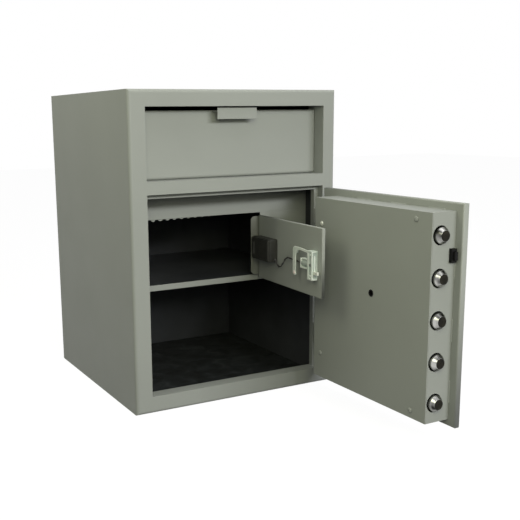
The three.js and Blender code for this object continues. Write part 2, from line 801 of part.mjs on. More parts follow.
// Door trip: a black block in the free side of the box, with a sprung plunger in it
const tripFront = tripSlotFront + seat;
const tripBack = tripFront + tripWidth - 2 * seat;
const tripLow = tripHeightCentre - tripHeight / 2 + seat;
const tripHigh = tripHeightCentre + tripHeight / 2 - seat;
const plungerFront = (tripFront + tripBack - tripPlungerWidth) / 2;
const plungerLow = tripHeightCentre - tripPlungerHeight / 2;
const plungerBack = plungerFront + tripPlungerWidth;
const plungerHigh = plungerLow + tripPlungerHeight;
const tripOuter = boxLeft - tripProud;
const tripInner = boxLeft + tripInside;
const wellFloor = tripInner - tripFloor;
function tripHousing() {
  const block = box(tripOuter, tripInner, tripFront, tripBack, tripLow, tripHigh);
  const well = box(tripOuter - 1, wellFloor, plungerFront - seat, plungerBack + seat,
    plungerLow - seat, plungerHigh + seat);
  return cut(block, well);
}
place(mainDoor, 'trip_housing', tripHousing(), blackPlastic);
place(mainDoor, 'trip_plunger', box(tripOuter - tripPlungerReach, wellFloor - tripTravel - 1,
  plungerFront, plungerBack, plungerLow, plungerHigh), blackPlastic);

// Locker door: a thick panel with a flange turned in along its hinge side
const innerDoor = swungGroup(innerAxisX, innerAxisY, innerDoorOpenAngle);
const innerDoorTop = innerDoorBottom + innerDoorHeight;
const innerFace = innerAxisY + innerDoorThickness;
const innerHingeEdge = innerAxisX - innerKnuckleRadius - 0.6;
const innerFreeEdge = latchStileEdge + innerDoorGap;
const onDoor = innerFace + seat;
const knobX = innerFreeEdge + innerKnobInset;
function innerDoorPanel() {
  const outline = rectangle(innerFreeEdge, innerHingeEdge, innerDoorBottom, innerDoorTop);
  const panel = plateY(outline, innerAxisY, innerFace, 1.5);
  const flangeFront = innerAxisY + 2;
  const flangeRear = innerFace + innerFlangeDepth;
  const flangeLow = innerDoorBottom + innerFlangeLift;
  const flangeHigh = innerDoorTop - 2;
  const flangeX = innerHingeEdge - innerFlangeThickness - 1;
  const flangeShape = roundedRectangle(flangeFront, flangeRear, flangeLow, flangeHigh, innerFlangeCorner);
  const flange = plateX(flangeShape, flangeX, innerHingeEdge - 1);
  const flangeRoot = box(flangeX, innerHingeEdge - 1, flangeFront, flangeFront + 2 * innerFlangeCorner,
    flangeLow, flangeHigh);
  const holeRadius = knobSpindleRadius + 0.5;
  const spindleHole = rodY(holeRadius, innerAxisY - 1, innerFace + 1, knobX, innerKnobHeight, smallRound);
  return cut(join(panel, flange, flangeRoot), spindleHole);
}
place(innerDoor, 'inner_door_panel', innerDoorPanel(), paint);

// Locker door hinge: a fixed leaf with two knuckles, a moving leaf with the middle one, and their pin
const innerHingeBottom = innerDoorBottom + innerHingeInset;
const innerHingeTop = innerDoorTop - innerHingeInset;
const innerLeafWidth = 26;
const innerLeafThickness = 2.5;
const knuckleBreaks = [innerHingeBottom + innerKnuckleHeight, innerHingeTop - innerKnuckleHeight];
const innerBore = rodZ(innerPinRadius + running, innerHingeBottom - 1, innerHingeTop + 1,
  innerAxisX, innerAxisY, smallRound);
function innerHingeFixed() {
  const leafFront = lockerFront - innerLeafThickness;
  const leaf = box(innerAxisX + 1, innerAxisX + innerLeafWidth, leafFront, lockerFront,
    innerHingeBottom, innerHingeTop);
  const ends = [[innerHingeBottom, knuckleBreaks[0] - seat], [knuckleBreaks[1] + seat, innerHingeTop]];
  const knuckles = ends.map(([z0, z1]) => join(
    rodZ(innerKnuckleRadius, z0, z1, innerAxisX, innerAxisY, smallRound),
    box(innerAxisX, innerAxisX + innerKnuckleRadius, innerAxisY, lockerFront, z0, z1),
  ));
  return cut(join(leaf, ...knuckles), innerBore);
}
place(safe, 'inner_hinge_fixed', innerHingeFixed(), steel);

function innerHingeMoving() {
  const z0 = knuckleBreaks[0];
  const z1 = knuckleBreaks[1];
  const leafFront = innerAxisY - innerLeafThickness;
  const leafEnd = innerHingeEdge - seat;
  const leaf = box(innerAxisX - innerLeafWidth, leafEnd, leafFront, innerAxisY - seat,
    innerHingeBottom, innerHingeTop);
  const neck = box(leafEnd - 1, innerAxisX, leafFront, innerAxisY - seat, z0, z1);
  const barrel = rodZ(innerKnuckleRadius, z0, z1, innerAxisX, innerAxisY, smallRound);
  return cut(join(leaf, neck, barrel), innerBore);
}
place(innerDoor, 'inner_hinge_moving', innerHingeMoving(), steel);
place(safe, 'inner_hinge_pin', rodZ(innerPinRadius, innerHingeBottom + 2, innerHingeTop - 2,
  innerAxisX, innerAxisY, smallRound), steel);

// A block on the inner face of the locker door
function onInnerFace(x0, x1, bottom, top, nearFace, farFace) {
  return box(x0, x1, onDoor + nearFace, onDoor + farFace, bottom, top);
}

// Battery box with its lid
const batteryRight = innerAxisX - batteryStart;
const batteryLeft = batteryRight - batteryLength;
const batteryTop = batteryBottom + batteryHeight;
const batterySplit = batteryDepth - batteryLidDepth;
place(innerDoor, 'battery_box', onInnerFace(batteryLeft, batteryRight, batteryBottom, batteryTop,
  0, batterySplit), blackPlastic);
place(innerDoor, 'battery_lid', onInnerFace(batteryLeft + 1, batteryRight - 1,
  batteryBottom + 1, batteryTop - 1, batterySplit + seat, batteryDepth), blackPlastic);

// Locker lock: case with the latch in it, and the solenoid beside it
const innerLockLeft = innerFreeEdge + innerLockInset;
const innerLockRight = innerLockLeft + innerLockLength;
const innerLockTop = innerLockBottom + innerLockHeight;
const latchFront = onDoor + latchDepth;
const latchBack = latchFront + latchThickness;
const latchTop = latchBottom + latchHeight;
const latchTip = innerFreeEdge + 2;
function innerLockCase() {
  const outline = roundedRectangle(innerLockLeft, innerLockRight, innerLockBottom, innerLockTop, 3);
  return cut(
    plateY(outline, onDoor, onDoor + innerLockDepth),
    box(innerLockLeft - 1, innerLockRight - 2, latchFront - seat, latchBack + seat,
      latchBottom - seat, latchTop + seat),
    rodY(knobSpindleRadius + 0.5, onDoor - 1, onDoor + 6, knobX, innerKnobHeight, smallRound),
  );
}
place(innerDoor, 'inner_lock_case', innerLockCase(), zinc);
place(innerDoor, 'inner_latch_bolt', box(latchTip, innerLockRight - 3, latchFront, latchBack,
  latchBottom, latchTop), brass);
const solenoidLeft = innerLockRight + seat;
const solenoidRight = solenoidLeft + solenoidLength;
place(innerDoor, 'solenoid', onInnerFace(solenoidLeft, solenoidRight,
  solenoidBottom, solenoidBottom + solenoidHeight, 0, solenoidDepth), zinc);

// Bracket over the solenoid: an upright strap with an arm to the lock case and a foot back to the door
function lockBracket() {
  const near = bracketStandOff;
  const far = bracketStandOff + bracketThickness;
  const x1 = innerLockRight + bracketReach - innerLockLength;
  const x0 = x1 - bracketWidth;
  const armBottom = bracketTop - bracketArm;
  const upright = onInnerFace(x0, x1, bracketBottom, bracketTop, near, far);
  const arm = onInnerFace(innerLockRight + seat, x1, armBottom, bracketTop, near, far);
  const foot = onInnerFace(x1 - bracketThickness, x1, armBottom, bracketTop, 0, far);
  return join(upright, arm, foot);
}
place(innerDoor, 'lock_bracket', lockBracket(), zinc);

// Lead from the battery box to the solenoid: it leaves the end of the box, dips, and rises behind the bracket
function batteryLead() {
  const start = batteryLeft - seat;
  const end = solenoidRight + seat;
  const route = [
    [0.004, 5.5], [0.034, 4.9], [0.077, -2], [0.145, -7], [0.239, -4.5], [0.324, 5.5], [0.4, 15.5],
    [0.494, 20], [0.75, 18.5], [1, 18],
  ];
  const points = route.map(([share, rise]) => new THREE.Vector3(
    start + share * (end - start), onDoor + leadDepth, batteryBottom + rise,
  ));
  const curve = new THREE.CatmullRomCurve3(points, false, 'centripetal');
  const section = new THREE.Shape();
  section.absarc(0, 0, leadRadius, 0, 2 * Math.PI, false);
  const settings = { steps: 24, extrudePath: curve, curveSegments: 4, bevelEnabled: false };
  return new THREE.ExtrudeGeometry(section, settings);
}
place(innerDoor, 'battery_lead', batteryLead(), rubber);

// Keypad and knob on the outer face of the locker door
const innerOuter = innerAxisY - seat;
function keypadHousing() {
  const x1 = innerAxisX - keypadStart;
  const outline = roundedRectangle(x1 - keypadWidth, x1, keypadBottom, keypadBottom + keypadHeight, 6);
  return plateY(outline, innerOuter - keypadDepth, innerOuter);
}
place(innerDoor, 'keypad_housing', keypadHousing(), blackPlastic);
const membraneRight = innerAxisX - keypadStart - keypadBorder;
const membraneLeft = innerAxisX - keypadStart - keypadWidth + keypadBorder;
const membraneBack = innerOuter - keypadDepth - seat;
place(innerDoor, 'keypad_membrane', box(membraneLeft, membraneRight,
  membraneBack - membraneThickness, membraneBack,
  keypadBottom + keypadBorder, keypadBottom + keypadHeight - keypadBorder), rubber);

function innerKnob() {
  const profile = [
    [0, -innerKnobReach], [innerKnobRadius - 2, -innerKnobReach], [innerKnobRadius, -innerKnobReach + 2],
    [innerKnobRadius, -5], [innerKnobRadius - 3, -seat], [knobSpindleRadius, -seat],
    [knobSpindleRadius, innerDoorThickness + 5], [0, innerDoorThickness + 5],
  ];
  const barrel = turned(profile).translate(knobX, innerAxisY, innerKnobHeight);
  const grip = box(knobX - 2.5, knobX + 2.5, innerAxisY - innerKnobReach - 2, innerAxisY - innerKnobReach + 1,
    innerKnobHeight - innerKnobRadius + 1, innerKnobHeight + innerKnobRadius - 1);
  return join(barrel, grip);
}
place(innerDoor, 'inner_knob', innerKnob(), chrome);

// Hopper: front panel, pull, and a bucket of two quadrant sides, a floor and a rear baffle
const panelLeft = openLeft + hopperSideGap;
const panelRight = openRight - hopperSideGap;
const panelTop = hopperTop - hopperTopGap;
const panelBack = hopperPanelFront + hopperPanelThickness;
const degrees = THREE.MathUtils.degToRad;
function polar(radius, angle) {
  return [hopperAxisY + radius * Math.sin(degrees(angle)), hopperAxisZ + radius * Math.cos(degrees(angle))];
}

function arc(radius, from, to, steps) {
  return Array.from({ length: steps + 1 }, (_, index) => polar(radius, from + (to - from) * index / steps));
}

// Front panel: a plate whose bottom is rolled into a round hem, bored at its ends for the pivot pins
function hopperPanel() {
  const meet = THREE.MathUtils.radToDeg(Math.asin((panelBack - hopperAxisY) / hemRadius));
  const section = polygon([
    [hopperPanelFront, panelTop - 1], [hopperPanelFront + 1, panelTop], [panelBack - 1, panelTop],
    [panelBack, panelTop - 1], ...arc(hemRadius, meet, 270, 32),
  ]);
  const plate = plateX(section, panelLeft, panelRight);
  const bore = hopperPinRadius + running;
  return cut(
    plate,
    rodX(bore, panelLeft - 1, panelLeft + hopperPinInside, hopperAxisY, hopperAxisZ, smallRound),
    rodX(bore, panelRight - hopperPinInside, panelRight + 1, hopperAxisY, hopperAxisZ, smallRound),
  );
}
place(safe, 'hopper_panel', hopperPanel(), paint);

function hopperPull() {
  const x0 = left + pullCentreX - pullWidth / 2;
  const x1 = x0 + pullWidth;
  const z1 = hopperTop - pullTopGap;
  const z0 = z1 - pullHeight;
  const tip = hopperPanelFront - pullReach;
  const rear = hopperPanelFront - seat;
  const shelf = box(x0, x1, tip, rear, panelTop - pullThickness - 1, panelTop - 1);
  const lip = box(x0, x1, tip, tip + pullThickness, z0, z1);
  return join(shelf, lip);
}
place(safe, 'hopper_pull', hopperPull(), paint);

function hopperBucket() {
  const radius = hopperTop - bucketTopGap - hopperAxisZ;
  const x0 = panelLeft + bucketSideGap;
  const x1 = panelRight - bucketSideGap;
  const nearPanel = panelBack + seat;
  const lowFront = hopperAxisZ - 1;
  const quadrant = polygon([
    [nearPanel, lowFront], ...arc(radius, bucketFloorAngle, 4, 14), [nearPanel, hopperAxisZ + radius - 1],
  ]);
  const sides = [x0, x1 - bucketPlate].map((x) => plateX(quadrant, x, x + bucketPlate));
  const [rearY, rearZ] = polar(radius - 1, bucketFloorAngle);
  const floorShape = polygon([
    [nearPanel, lowFront], [rearY, rearZ], [rearY, rearZ + bucketPlate], [nearPanel, lowFront + bucketPlate],
  ]);
  const floor = plateX(floorShape, x0 + 1, x1 - 1);
  const baffleShape = polygon([
    ...arc(radius - 0.5, baffleStart, baffleEnd, 8),
    ...arc(radius - 0.5 - bucketPlate, baffleEnd, baffleStart, 8),
  ]);
  const baffle = plateX(baffleShape, x0 + 1, x1 - 1);
  const lining = box(x0, x1, nearPanel, nearPanel + bucketPlate, hopperAxisZ, hopperAxisZ + radius);
  const hemSpace = rodX(hemRadius + 2 * seat, x0 - 1, x1 + 1, hopperAxisY, hopperAxisZ);
  return cut(join(...sides, floor, baffle, lining), hemSpace);
}
place(safe, 'hopper_bucket', hopperBucket(), steel);

const pinReach = hopperFrameWall + 2;
const pinEnd = hopperPinInside - 2;
place(safe, 'hopper_pin_left', rodX(hopperPinRadius, openLeft - pinReach, panelLeft + pinEnd,
  hopperAxisY, hopperAxisZ, smallRound), steel);
place(safe, 'hopper_pin_right', rodX(hopperPinRadius, panelRight - pinEnd, openRight + pinReach,
  hopperAxisY, hopperAxisZ, smallRound), steel);

export default safe;
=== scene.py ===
"""Looks of a front-loading deposit safe with a tilt-out hopper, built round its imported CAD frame."""

import json
import math

import bmesh
import bpy
from mathutils import Matrix, Vector

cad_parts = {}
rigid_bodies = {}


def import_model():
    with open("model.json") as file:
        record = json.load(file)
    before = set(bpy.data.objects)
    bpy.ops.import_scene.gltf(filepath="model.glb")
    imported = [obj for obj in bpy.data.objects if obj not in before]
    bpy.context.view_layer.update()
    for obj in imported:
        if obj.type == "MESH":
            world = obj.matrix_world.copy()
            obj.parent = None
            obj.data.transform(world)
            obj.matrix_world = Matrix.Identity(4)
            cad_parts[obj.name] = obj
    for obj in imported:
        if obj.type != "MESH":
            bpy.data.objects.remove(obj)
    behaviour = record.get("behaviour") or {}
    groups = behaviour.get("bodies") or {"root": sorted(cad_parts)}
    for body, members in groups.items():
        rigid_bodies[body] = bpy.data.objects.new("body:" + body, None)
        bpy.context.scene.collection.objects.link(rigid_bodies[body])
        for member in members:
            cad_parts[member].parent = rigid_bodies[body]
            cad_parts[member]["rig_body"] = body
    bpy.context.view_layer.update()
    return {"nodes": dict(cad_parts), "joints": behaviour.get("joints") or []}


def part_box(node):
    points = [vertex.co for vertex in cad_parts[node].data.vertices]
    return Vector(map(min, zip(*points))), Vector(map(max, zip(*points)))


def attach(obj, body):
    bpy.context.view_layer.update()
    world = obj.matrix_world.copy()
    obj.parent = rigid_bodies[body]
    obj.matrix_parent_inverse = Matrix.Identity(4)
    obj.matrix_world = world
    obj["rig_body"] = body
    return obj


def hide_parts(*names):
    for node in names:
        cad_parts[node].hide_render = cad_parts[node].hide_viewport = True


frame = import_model()

# Camera: stands low in front of the safe's left corner, a little below the height of its top, and
# looks slightly down into the compartments. The shift keeps the safe where the photograph has it.
camera_place = Vector((-0.88199, -1.80700, 0.62504))
camera_yaw, camera_pitch, camera_roll = 0.48514, 0.19158, -0.01243
camera_lens = bpy.data.cameras.new("camera")
camera_lens.sensor_width = 36
camera_lens.lens = 56.675
camera_lens.shift_x = 0.0881
camera_lens.shift_y = 0.0337
camera_lens.clip_start = 0.05
camera = bpy.data.objects.new("camera", camera_lens)
bpy.context.scene.collection.objects.link(camera)
ahead = Vector((
    math.sin(camera_yaw) * math.cos(camera_pitch),
    math.cos(camera_yaw) * math.cos(camera_pitch),
    -math.sin(camera_pitch),
))
level = Vector((math.cos(camera_yaw), -math.sin(camera_yaw), 0))
upright = level.cross(ahead)
across = level * math.cos(camera_roll) + upright * math.sin(camera_roll)
over = upright * math.cos(camera_roll) - level * math.sin(camera_roll)
camera.matrix_world = Matrix.Translation(camera_place) @ Matrix((across, over, -ahead)).transposed().to_4x4()
bpy.context.scene.camera = camera
bpy.context.scene.view_settings.view_transform = "Standard"


# Studio: a pale floor and an even white room with four soft lamps: a wide low one in front on the right,
# one overhead, and two warmer ones, over the left side and near the front for the open door. What the
# camera and the metal see of the room is plain white.


class Link:
    """One output in a node tree. Sums, products and the like add the Math nodes that work them out."""

    def __init__(self, finish, socket):
        self.finish = finish
        self.socket = socket

    def _math(self, operation, first, second=None):
        return self.finish.add("ShaderNodeMath", {"operation": operation}, {0: first, 1: second})

    def __add__(self, other):
        return self._math("ADD", self, other)

    def __radd__(self, other):
        return self._math("ADD", other, self)

    def __sub__(self, other):
        return self._math("SUBTRACT", self, other)

    def __rsub__(self, other):
        return self._math("SUBTRACT", other, self)

    def __mul__(self, other):
        return self._math("MULTIPLY", self, other)

    def __rmul__(self, other):
        return self._math("MULTIPLY", other, self)

    def __truediv__(self, other):
        return self._math("DIVIDE", self, other)

    def __rtruediv__(self, other):
        return self._math("DIVIDE", other, self)

    def __mod__(self, other):
        return self._math("MODULO", self, other)

    def __rmod__(self, other):
        return self._math("MODULO", other, self)

    def below(self, edge):
        return self._math("LESS_THAN", self, edge)

    def biggest(self, other):
        return self._math("MAXIMUM", self, other)


class Finish:
    """The node tree of a material, the room or some geometry. add() makes a node and gives one output."""

    def __init__(self, tree):
        self.tree = tree
        tree.nodes.clear()

    def add(self, kind, settings=None, inputs=None, output=0):
        node = self.tree.nodes.new(kind)
        for name, value in (settings or {}).items():
            if name == "stops":
                ramp = node.color_ramp
                while len(ramp.elements) < len(value):
                    ramp.elements.new(0.5)
                for element, (place, colour) in zip(ramp.elements, value):
                    element.position = place
                    element.color = (*colour, 1)
            else:
                setattr(node, name, value)
        for name, value in (inputs or {}).items():
            if isinstance(value, Link):
                self.tree.links.new(value.socket, node.inputs[name])
            else:
                node.inputs[name].default_value = value
        return Link(self, node.outputs[output]) if node.outputs else None


room_light = 0.24
key_power = 214
side_power = 7.4
door_power = 9.5
top_power = 11
warm_light = (0.98, 1.0, 0.72)
floor_tone = (0.12, 0.12, 0.12, 1)
floor_lift = 0.95
floor_reach = 9
white = (1, 1, 1, 1)

world = bpy.data.worlds.new("room")
bpy.context.scene.world = world
world.use_nodes = True
room = Finish(world.node_tree)


def background_share(tree):
    """1 for what is seen of the room, also by way of metal or glass, and 0 for the light on the safe."""
    seen = tree.add("ShaderNodeLightPath", output="Is Camera Ray")
    mirrored = tree.add("ShaderNodeLightPath", output="Is Glossy Ray")
    passed = tree.add("ShaderNodeLightPath", output="Is Transmission Ray")
    return seen.biggest(mirrored).biggest(passed)


seen_room = background_share(room)
background = room.add(
    "ShaderNodeBackground", {}, {"Color": white, "Strength": seen_room + (1 - seen_room) * room_light}
)
room.add("ShaderNodeOutputWorld", {}, {"Surface": background})

floor_mesh = bpy.data.meshes.new("floor")
floor_corners = [(floor_reach * x, floor_reach * y, 0) for x, y in ((-1, -1), (1, -1), (1, 1), (-1, 1))]
floor_mesh.from_pydata(floor_corners, [], [(0, 1, 2, 3)])
floor = bpy.data.objects.new("floor", floor_mesh)
bpy.context.scene.collection.objects.link(floor)
floor_material = bpy.data.materials.new("floor")
floor_material.use_nodes = True
ground = Finish(floor_material.node_tree)
ground_diffuse = ground.add("ShaderNodeBsdfDiffuse", {}, {"Color": floor_tone})
ground_lift = ground.add(
    "ShaderNodeEmission", {}, {"Color": white, "Strength": background_share(ground) * floor_lift}
)
ground_sum = ground.add("ShaderNodeAddShader", {}, {0: ground_diffuse, 1: ground_lift})
ground.add("ShaderNodeOutputMaterial", {}, {"Surface": ground_sum})
floor_mesh.materials.append(floor_material)


def soft_lamp(name, place, aim, width, height, power, colour=(1, 1, 1)):
    """A rectangular lamp that stands at a place and faces the point it is aimed at."""
    lamp = bpy.data.lights.new(name, "AREA")
    lamp.shape = "RECTANGLE"
    lamp.size = width
    lamp.size_y = height
    lamp.energy = power
    lamp.color = colour
    holder = bpy.data.objects.new(name, lamp)
    bpy.context.scene.collection.objects.link(holder)
    holder.location = place
    holder.rotation_euler = (Vector(aim) - Vector(place)).to_track_quat("-Z", "Y").to_euler()


soft_lamp("key_lamp", (1.43, -6.35, 2.58), (0, -0.2, 0.4), 3.6, 0.75, key_power)
soft_lamp("side_lamp", (-1.1, 0.0, 1.55), (-0.2, 0, 0.45), 0.9, 0.9, side_power, warm_light)
soft_lamp("top_lamp", (0.1, -0.7, 2.3), (0.1, -0.4, 0.4), 1.4, 1.4, top_power)
soft_lamp("door_lamp", (-0.62, -1.7, 1.05), (0.27, -0.45, 0.25), 0.8, 0.8, door_power, warm_light)


# Cabinet shell: 6 mm steel plate, the front bent round from the sides, welded and sprayed in a warm grey
# satin enamel outside. Inside it is drawn nearly black, painted shade for the little light that reaches the
# compartments.


def material(name, colour, roughness, metallic=0.0, **constants):
    """A new material with its Principled shader; what varies is linked to the shader afterwards."""
    made = bpy.data.materials.new(name)
    made.use_nodes = True
    finish = Finish(made.node_tree)
    shader = finish.tree.nodes.new("ShaderNodeBsdfPrincipled")
    output = finish.tree.nodes.new("ShaderNodeOutputMaterial")
    finish.tree.links.new(shader.outputs[0], output.inputs[0])
    shader.inputs["Base Color"].default_value = (*colour, 1)
    shader.inputs["Roughness"].default_value = roughness
    shader.inputs["Metallic"].default_value = metallic
    for socket, value in constants.items():
        shader.inputs[socket.replace("_", " ").title().replace("Ior", "IOR")].default_value = value
    made.diffuse_color = (*colour, 1)
    finish.material = made
    finish.shader = shader
    finish.place = finish.add("ShaderNodeTexCoord", {}, {}, "Object")
    return finish


def clouds_on(finish, scale, detail=3.0, stretch=(1, 1, 1), distortion=0.0):
    """Noise on the object's own coordinates, stretched along its axes where the finish has a grain."""
    mapped = finish.add("ShaderNodeMapping", {}, {"Vector": finish.place, "Scale": stretch})
    return finish.add(
        "ShaderNodeTexNoise",
        {},
        {"Vector": mapped, "Scale": scale, "Detail": detail, "Distortion": distortion},
    )


def vary(finish, low, high, scale, detail=3.0, stretch=(1, 1, 1), output="Base Color"):
    """Cloudy variation over the surface, between two colours or two numbers."""
    clouds = clouds_on(finish, scale, detail, stretch)
    if output == "Base Color":
        mixed = finish.add("ShaderNodeValToRGB", {"stops": [(0.3, low), (0.7, high)]}, {"Fac": clouds})
    else:
        mixed = clouds * (high - low) + low
    finish.tree.links.new(mixed.socket, finish.shader.inputs[output])


def rough_up(finish, height, depth, strength=1.0):
    """Small unevenness of the surface, from a height pattern of the given depth in metres."""
    bump = finish.add("ShaderNodeBump", {}, {"Strength": strength, "Distance": depth, "Height": height})
    finish.tree.links.new(bump.socket, finish.shader.inputs["Normal"])


def enamel(name, colour, spread=0.03, roughness=0.46):
    """Sprayed satin enamel: faint clouds in the colour, a few rubbed places, and orange peel."""
    finish = material(name, colour, roughness, specular_ior_level=0.12)
    low = [channel * (1 - spread) for channel in colour]
    high = [channel * (1 + spread) for channel in colour]
    vary(finish, low, high, 5.0, 4.0)
    vary(finish, roughness - 0.06, roughness + 0.06, 14.0, 5.0, output="Roughness")
    peel = clouds_on(finish, 420.0, 2.0)
    runs = clouds_on(finish, 30.0, 1.0)
    rough_up(finish, peel + runs * 3.0, 0.00006, 0.6)
    return finish


enamel_grey = enamel("grey_enamel", (0.335, 0.350, 0.330))
# Nearly black enamel for the inside walls, the chute and the shelf top: painted shade.
interior_painted_shade = enamel("interior_shade_enamel", (0.060, 0.063, 0.068), 0.35, 0.42)


def finished(name, shell, finishes, body, stands_for, width=0.0, segments=2):
    """Makes a piece from a bmesh, which rides on the body and stands for the CAD nodes named."""
    bmesh.ops.recalc_face_normals(shell, faces=shell.faces)
    for face in shell.faces:
        face.smooth = True
    mesh = bpy.data.meshes.new(name)
    shell.to_mesh(mesh)
    shell.free()
    for finish in finishes:
        mesh.materials.append(finish.material)
    piece = bpy.data.objects.new(name, mesh)
    bpy.context.scene.collection.objects.link(piece)
    if width:
        easing = piece.modifiers.new("eased_edges", "BEVEL")
        easing.width = width
        easing.segments = segments
        easing.limit_method = "ANGLE"
        easing.angle_limit = math.radians(35)
        easing.use_clamp_overlap = True
    weighting = piece.modifiers.new("flat_faces", "WEIGHTED_NORMAL")
    weighting.keep_sharp = True
    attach(piece, body)
    if stands_for:
        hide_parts(*stands_for)
    return piece


def eased(node, finish, width, segments=2, inner=None, is_inner=None):
    """A copy of a CAD node with its sharp edges eased, which stands for it on the same body. A second
    finish, if there is one, goes on the faces that is_inner picks."""
    source = frame["nodes"][node]
    shell = bmesh.new()
    shell.from_mesh(source.data)
    bmesh.ops.remove_doubles(shell, verts=shell.verts, dist=1e-5)
    bmesh.ops.dissolve_limit(shell, angle_limit=math.radians(0.4), verts=shell.verts, edges=shell.edges)
    shell.normal_update()
    for face in shell.faces:
        face.material_index = 1 if is_inner and is_inner(face) else 0
    finishes = [finish, inner] if inner else [finish]
    return finished(node + "_piece", shell, finishes, source["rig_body"], [node], width, segments)


shell_low, shell_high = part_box("body_shell")
plate = 0.006
slack = 1e-5


def on_shell_inside(face):
    """Whether a face lies on or within the inner faces of the walls."""
    return all(
        low + plate - slack < middle < high - plate + slack
        for low, middle, high in zip(shell_low, face.calc_center_median(), shell_high)
    )


# The faces on the inside of the walls take the painted shade.
eased("body_shell", enamel_grey, 0.0008, 2, interior_painted_shade, on_shell_inside)

# Door frame, hopper frame and deposit chute: folded plate welded in behind the front, in the same enamel.
# The chute is drawn in the same dark painted shade as the inside, since nobody sees it.
for node in ("front_frame", "hopper_frame"):
    eased(node, enamel_grey, 0.0008)
eased("deposit_chute", interior_painted_shade, 0.0005)

# Locker front: header, two stiles and a shelf with a folded lip, all thin plate in the enamel. The top of
# the shelf is drawn dark, painted shade for the dark behind the locker door.
for node in ("locker_header", "latch_stile", "hinge_stile"):
    eased(node, enamel_grey, 0.0006)


def on_shelf_top(face):
    """Whether a face looks up."""
    return face.normal.z > 0.9


# The faces that look up, the top of the shelf, take the painted shade.
eased("locker_shelf", enamel_grey, 0.0006, 2, interior_painted_shade, on_shelf_top)

# Toothed bar behind the header: cut from thin sheet, it keeps a hooked wire or a hand from reaching up
# the chute. It is tacked to the header in a few places.
eased("header_teeth", enamel_grey, 0.0003)

# Floor mat: black needle felt, cut a little smaller than the compartment and laid in loose. It is worn
# lighter in patches.
felt = material(
    "black_felt", (0.005, 0.006, 0.006), 0.95, specular_ior_level=0.05, sheen_weight=0.03, sheen_roughness=0.5
)
felt_deep, felt_middle, felt_worn = (0.003, 0.004, 0.004), (0.013, 0.016, 0.017), (0.032, 0.038, 0.040)
patches = clouds_on(felt, 22.0, 8.0, distortion=0.6)
felt_colour = felt.add(
    "ShaderNodeValToRGB",
    {"stops": [(0.32, felt_deep), (0.55, felt_middle), (0.75, felt_worn)]},
    {"Fac": patches},
)
felt.tree.links.new(felt_colour.socket, felt.shader.inputs["Base Color"])
fibres = clouds_on(felt, 900.0, 4.0)
rough_up(felt, fibres, 0.0008)
eased("floor_mat", felt, 0.0008)

# Main door hinges: steel knuckles welded to the cabinet and to the door, sprayed with them, on plain pins
# that end just inside the knuckles. A weld bead runs down both sides of each knuckle on the cabinet.
steel = material("mild_steel", (0.30, 0.31, 0.31), 0.42, 1.0)
vary(steel, 0.34, 0.5, 60.0, output="Roughness")
rough_up(steel, clouds_on(steel, 200.0, 3.0, (1, 1, 0.1)), 0.00005)


def bead(shell, start, end, radius):
    """Adds a row of overlapping ripples between two points to a bmesh, as a welder leaves them."""
    start, end = Vector(start), Vector(end)
    run = end - start
    count = max(4, int(run.length / (radius * 1.1)))
    turn = run.to_track_quat("Z", "Y").to_matrix().to_4x4()
    sides = 10
    rings = []
    for ring in range(2 * count + 1):
        swell = radius * (1.0 if ring % 2 else 0.82) * (0.55 if ring in (0, 2 * count) else 1)
        centre = Matrix.Translation(start + run * ring / (2 * count)) @ turn
        rings.append([
            shell.verts.new(centre @ Vector((swell * math.cos(angle), swell * math.sin(angle), 0)))
            for angle in (step * math.tau / sides for step in range(sides))
        ])
    shell.faces.new(rings[0])
    shell.faces.new(rings[-1])
    for lower, upper in zip(rings, rings[1:]):
        for step in range(sides):
            after = (step + 1) % sides
            shell.faces.new((lower[step], lower[after], upper[after], upper[step]))


weld_set, weld_inset = 0.0006, 0.003
for end in ("lower", "upper"):
    eased(f"body_hinge_{end}", enamel_grey, 0.0008)
    eased(f"door_hinge_{end}", enamel_grey, 0.0008)
    eased(f"hinge_pin_{end}", steel, 0.0012, 3)
    low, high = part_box(f"body_hinge_{end}")
    welds = bmesh.new()
    for x in (low.x, high.x):
        y = high.y - weld_set
        bead(welds, (x, y, low.z + weld_inset), (x, y, high.z - weld_inset), 0.0022)
    finished(f"hinge_weld_{end}", welds, [enamel_grey], "cabinet", [])

# Door plate: one solid steel plate, 15 mm thick, with eased edges, sprayed like the cabinet. From here on
# the pieces of the door are written with the door shut, and door_turn swings them to where they stand open.
joints = {joint["name"]: joint for joint in frame["joints"]}


def swing(joint_name, angle):
    """The turn of a door about its upright hinge line, by degrees."""
    axis = Vector(joints[joint_name]["pos_m"])
    turn = Matrix.Rotation(math.radians(angle), 4, "Z")
    return Matrix.Translation(axis) @ turn @ Matrix.Translation(-axis)


door_turn = swing("main_door_swing", 90)
eased("door_plate", enamel_grey, 0.0)

# Bolt box: four walls of folded sheet welded to the plate in short runs, with five holes for the bolts,
# and the screwed cover over the works.
eased("bolt_box", enamel_grey, 0.0008)
eased("back_panel", enamel_grey, 0.0011, 3)
plate_back, cover_front = -0.2393, -0.1812
box_left, box_right, box_bottom, box_top = -0.1973, 0.1675, 0.0537, 0.4544
stitch, stitch_radius, stitch_y = 0.045, 0.0021, plate_back + 0.0004
box_welds = bmesh.new()
for share in (0.08, 0.38, 0.68):
    z = box_bottom + share * (box_top - box_bottom)
    for x in (box_left, box_right):
        bead(box_welds, (x, stitch_y, z), (x, stitch_y, z + stitch), stitch_radius)
    x = box_left + share * (box_right - box_left)
    for z in (box_bottom, box_top):
        bead(box_welds, (x, stitch_y, z), (x + stitch, stitch_y, z), stitch_radius)
box_welds.transform(door_turn)
finished("box_welds", box_welds, [enamel_grey], "main_door", [])
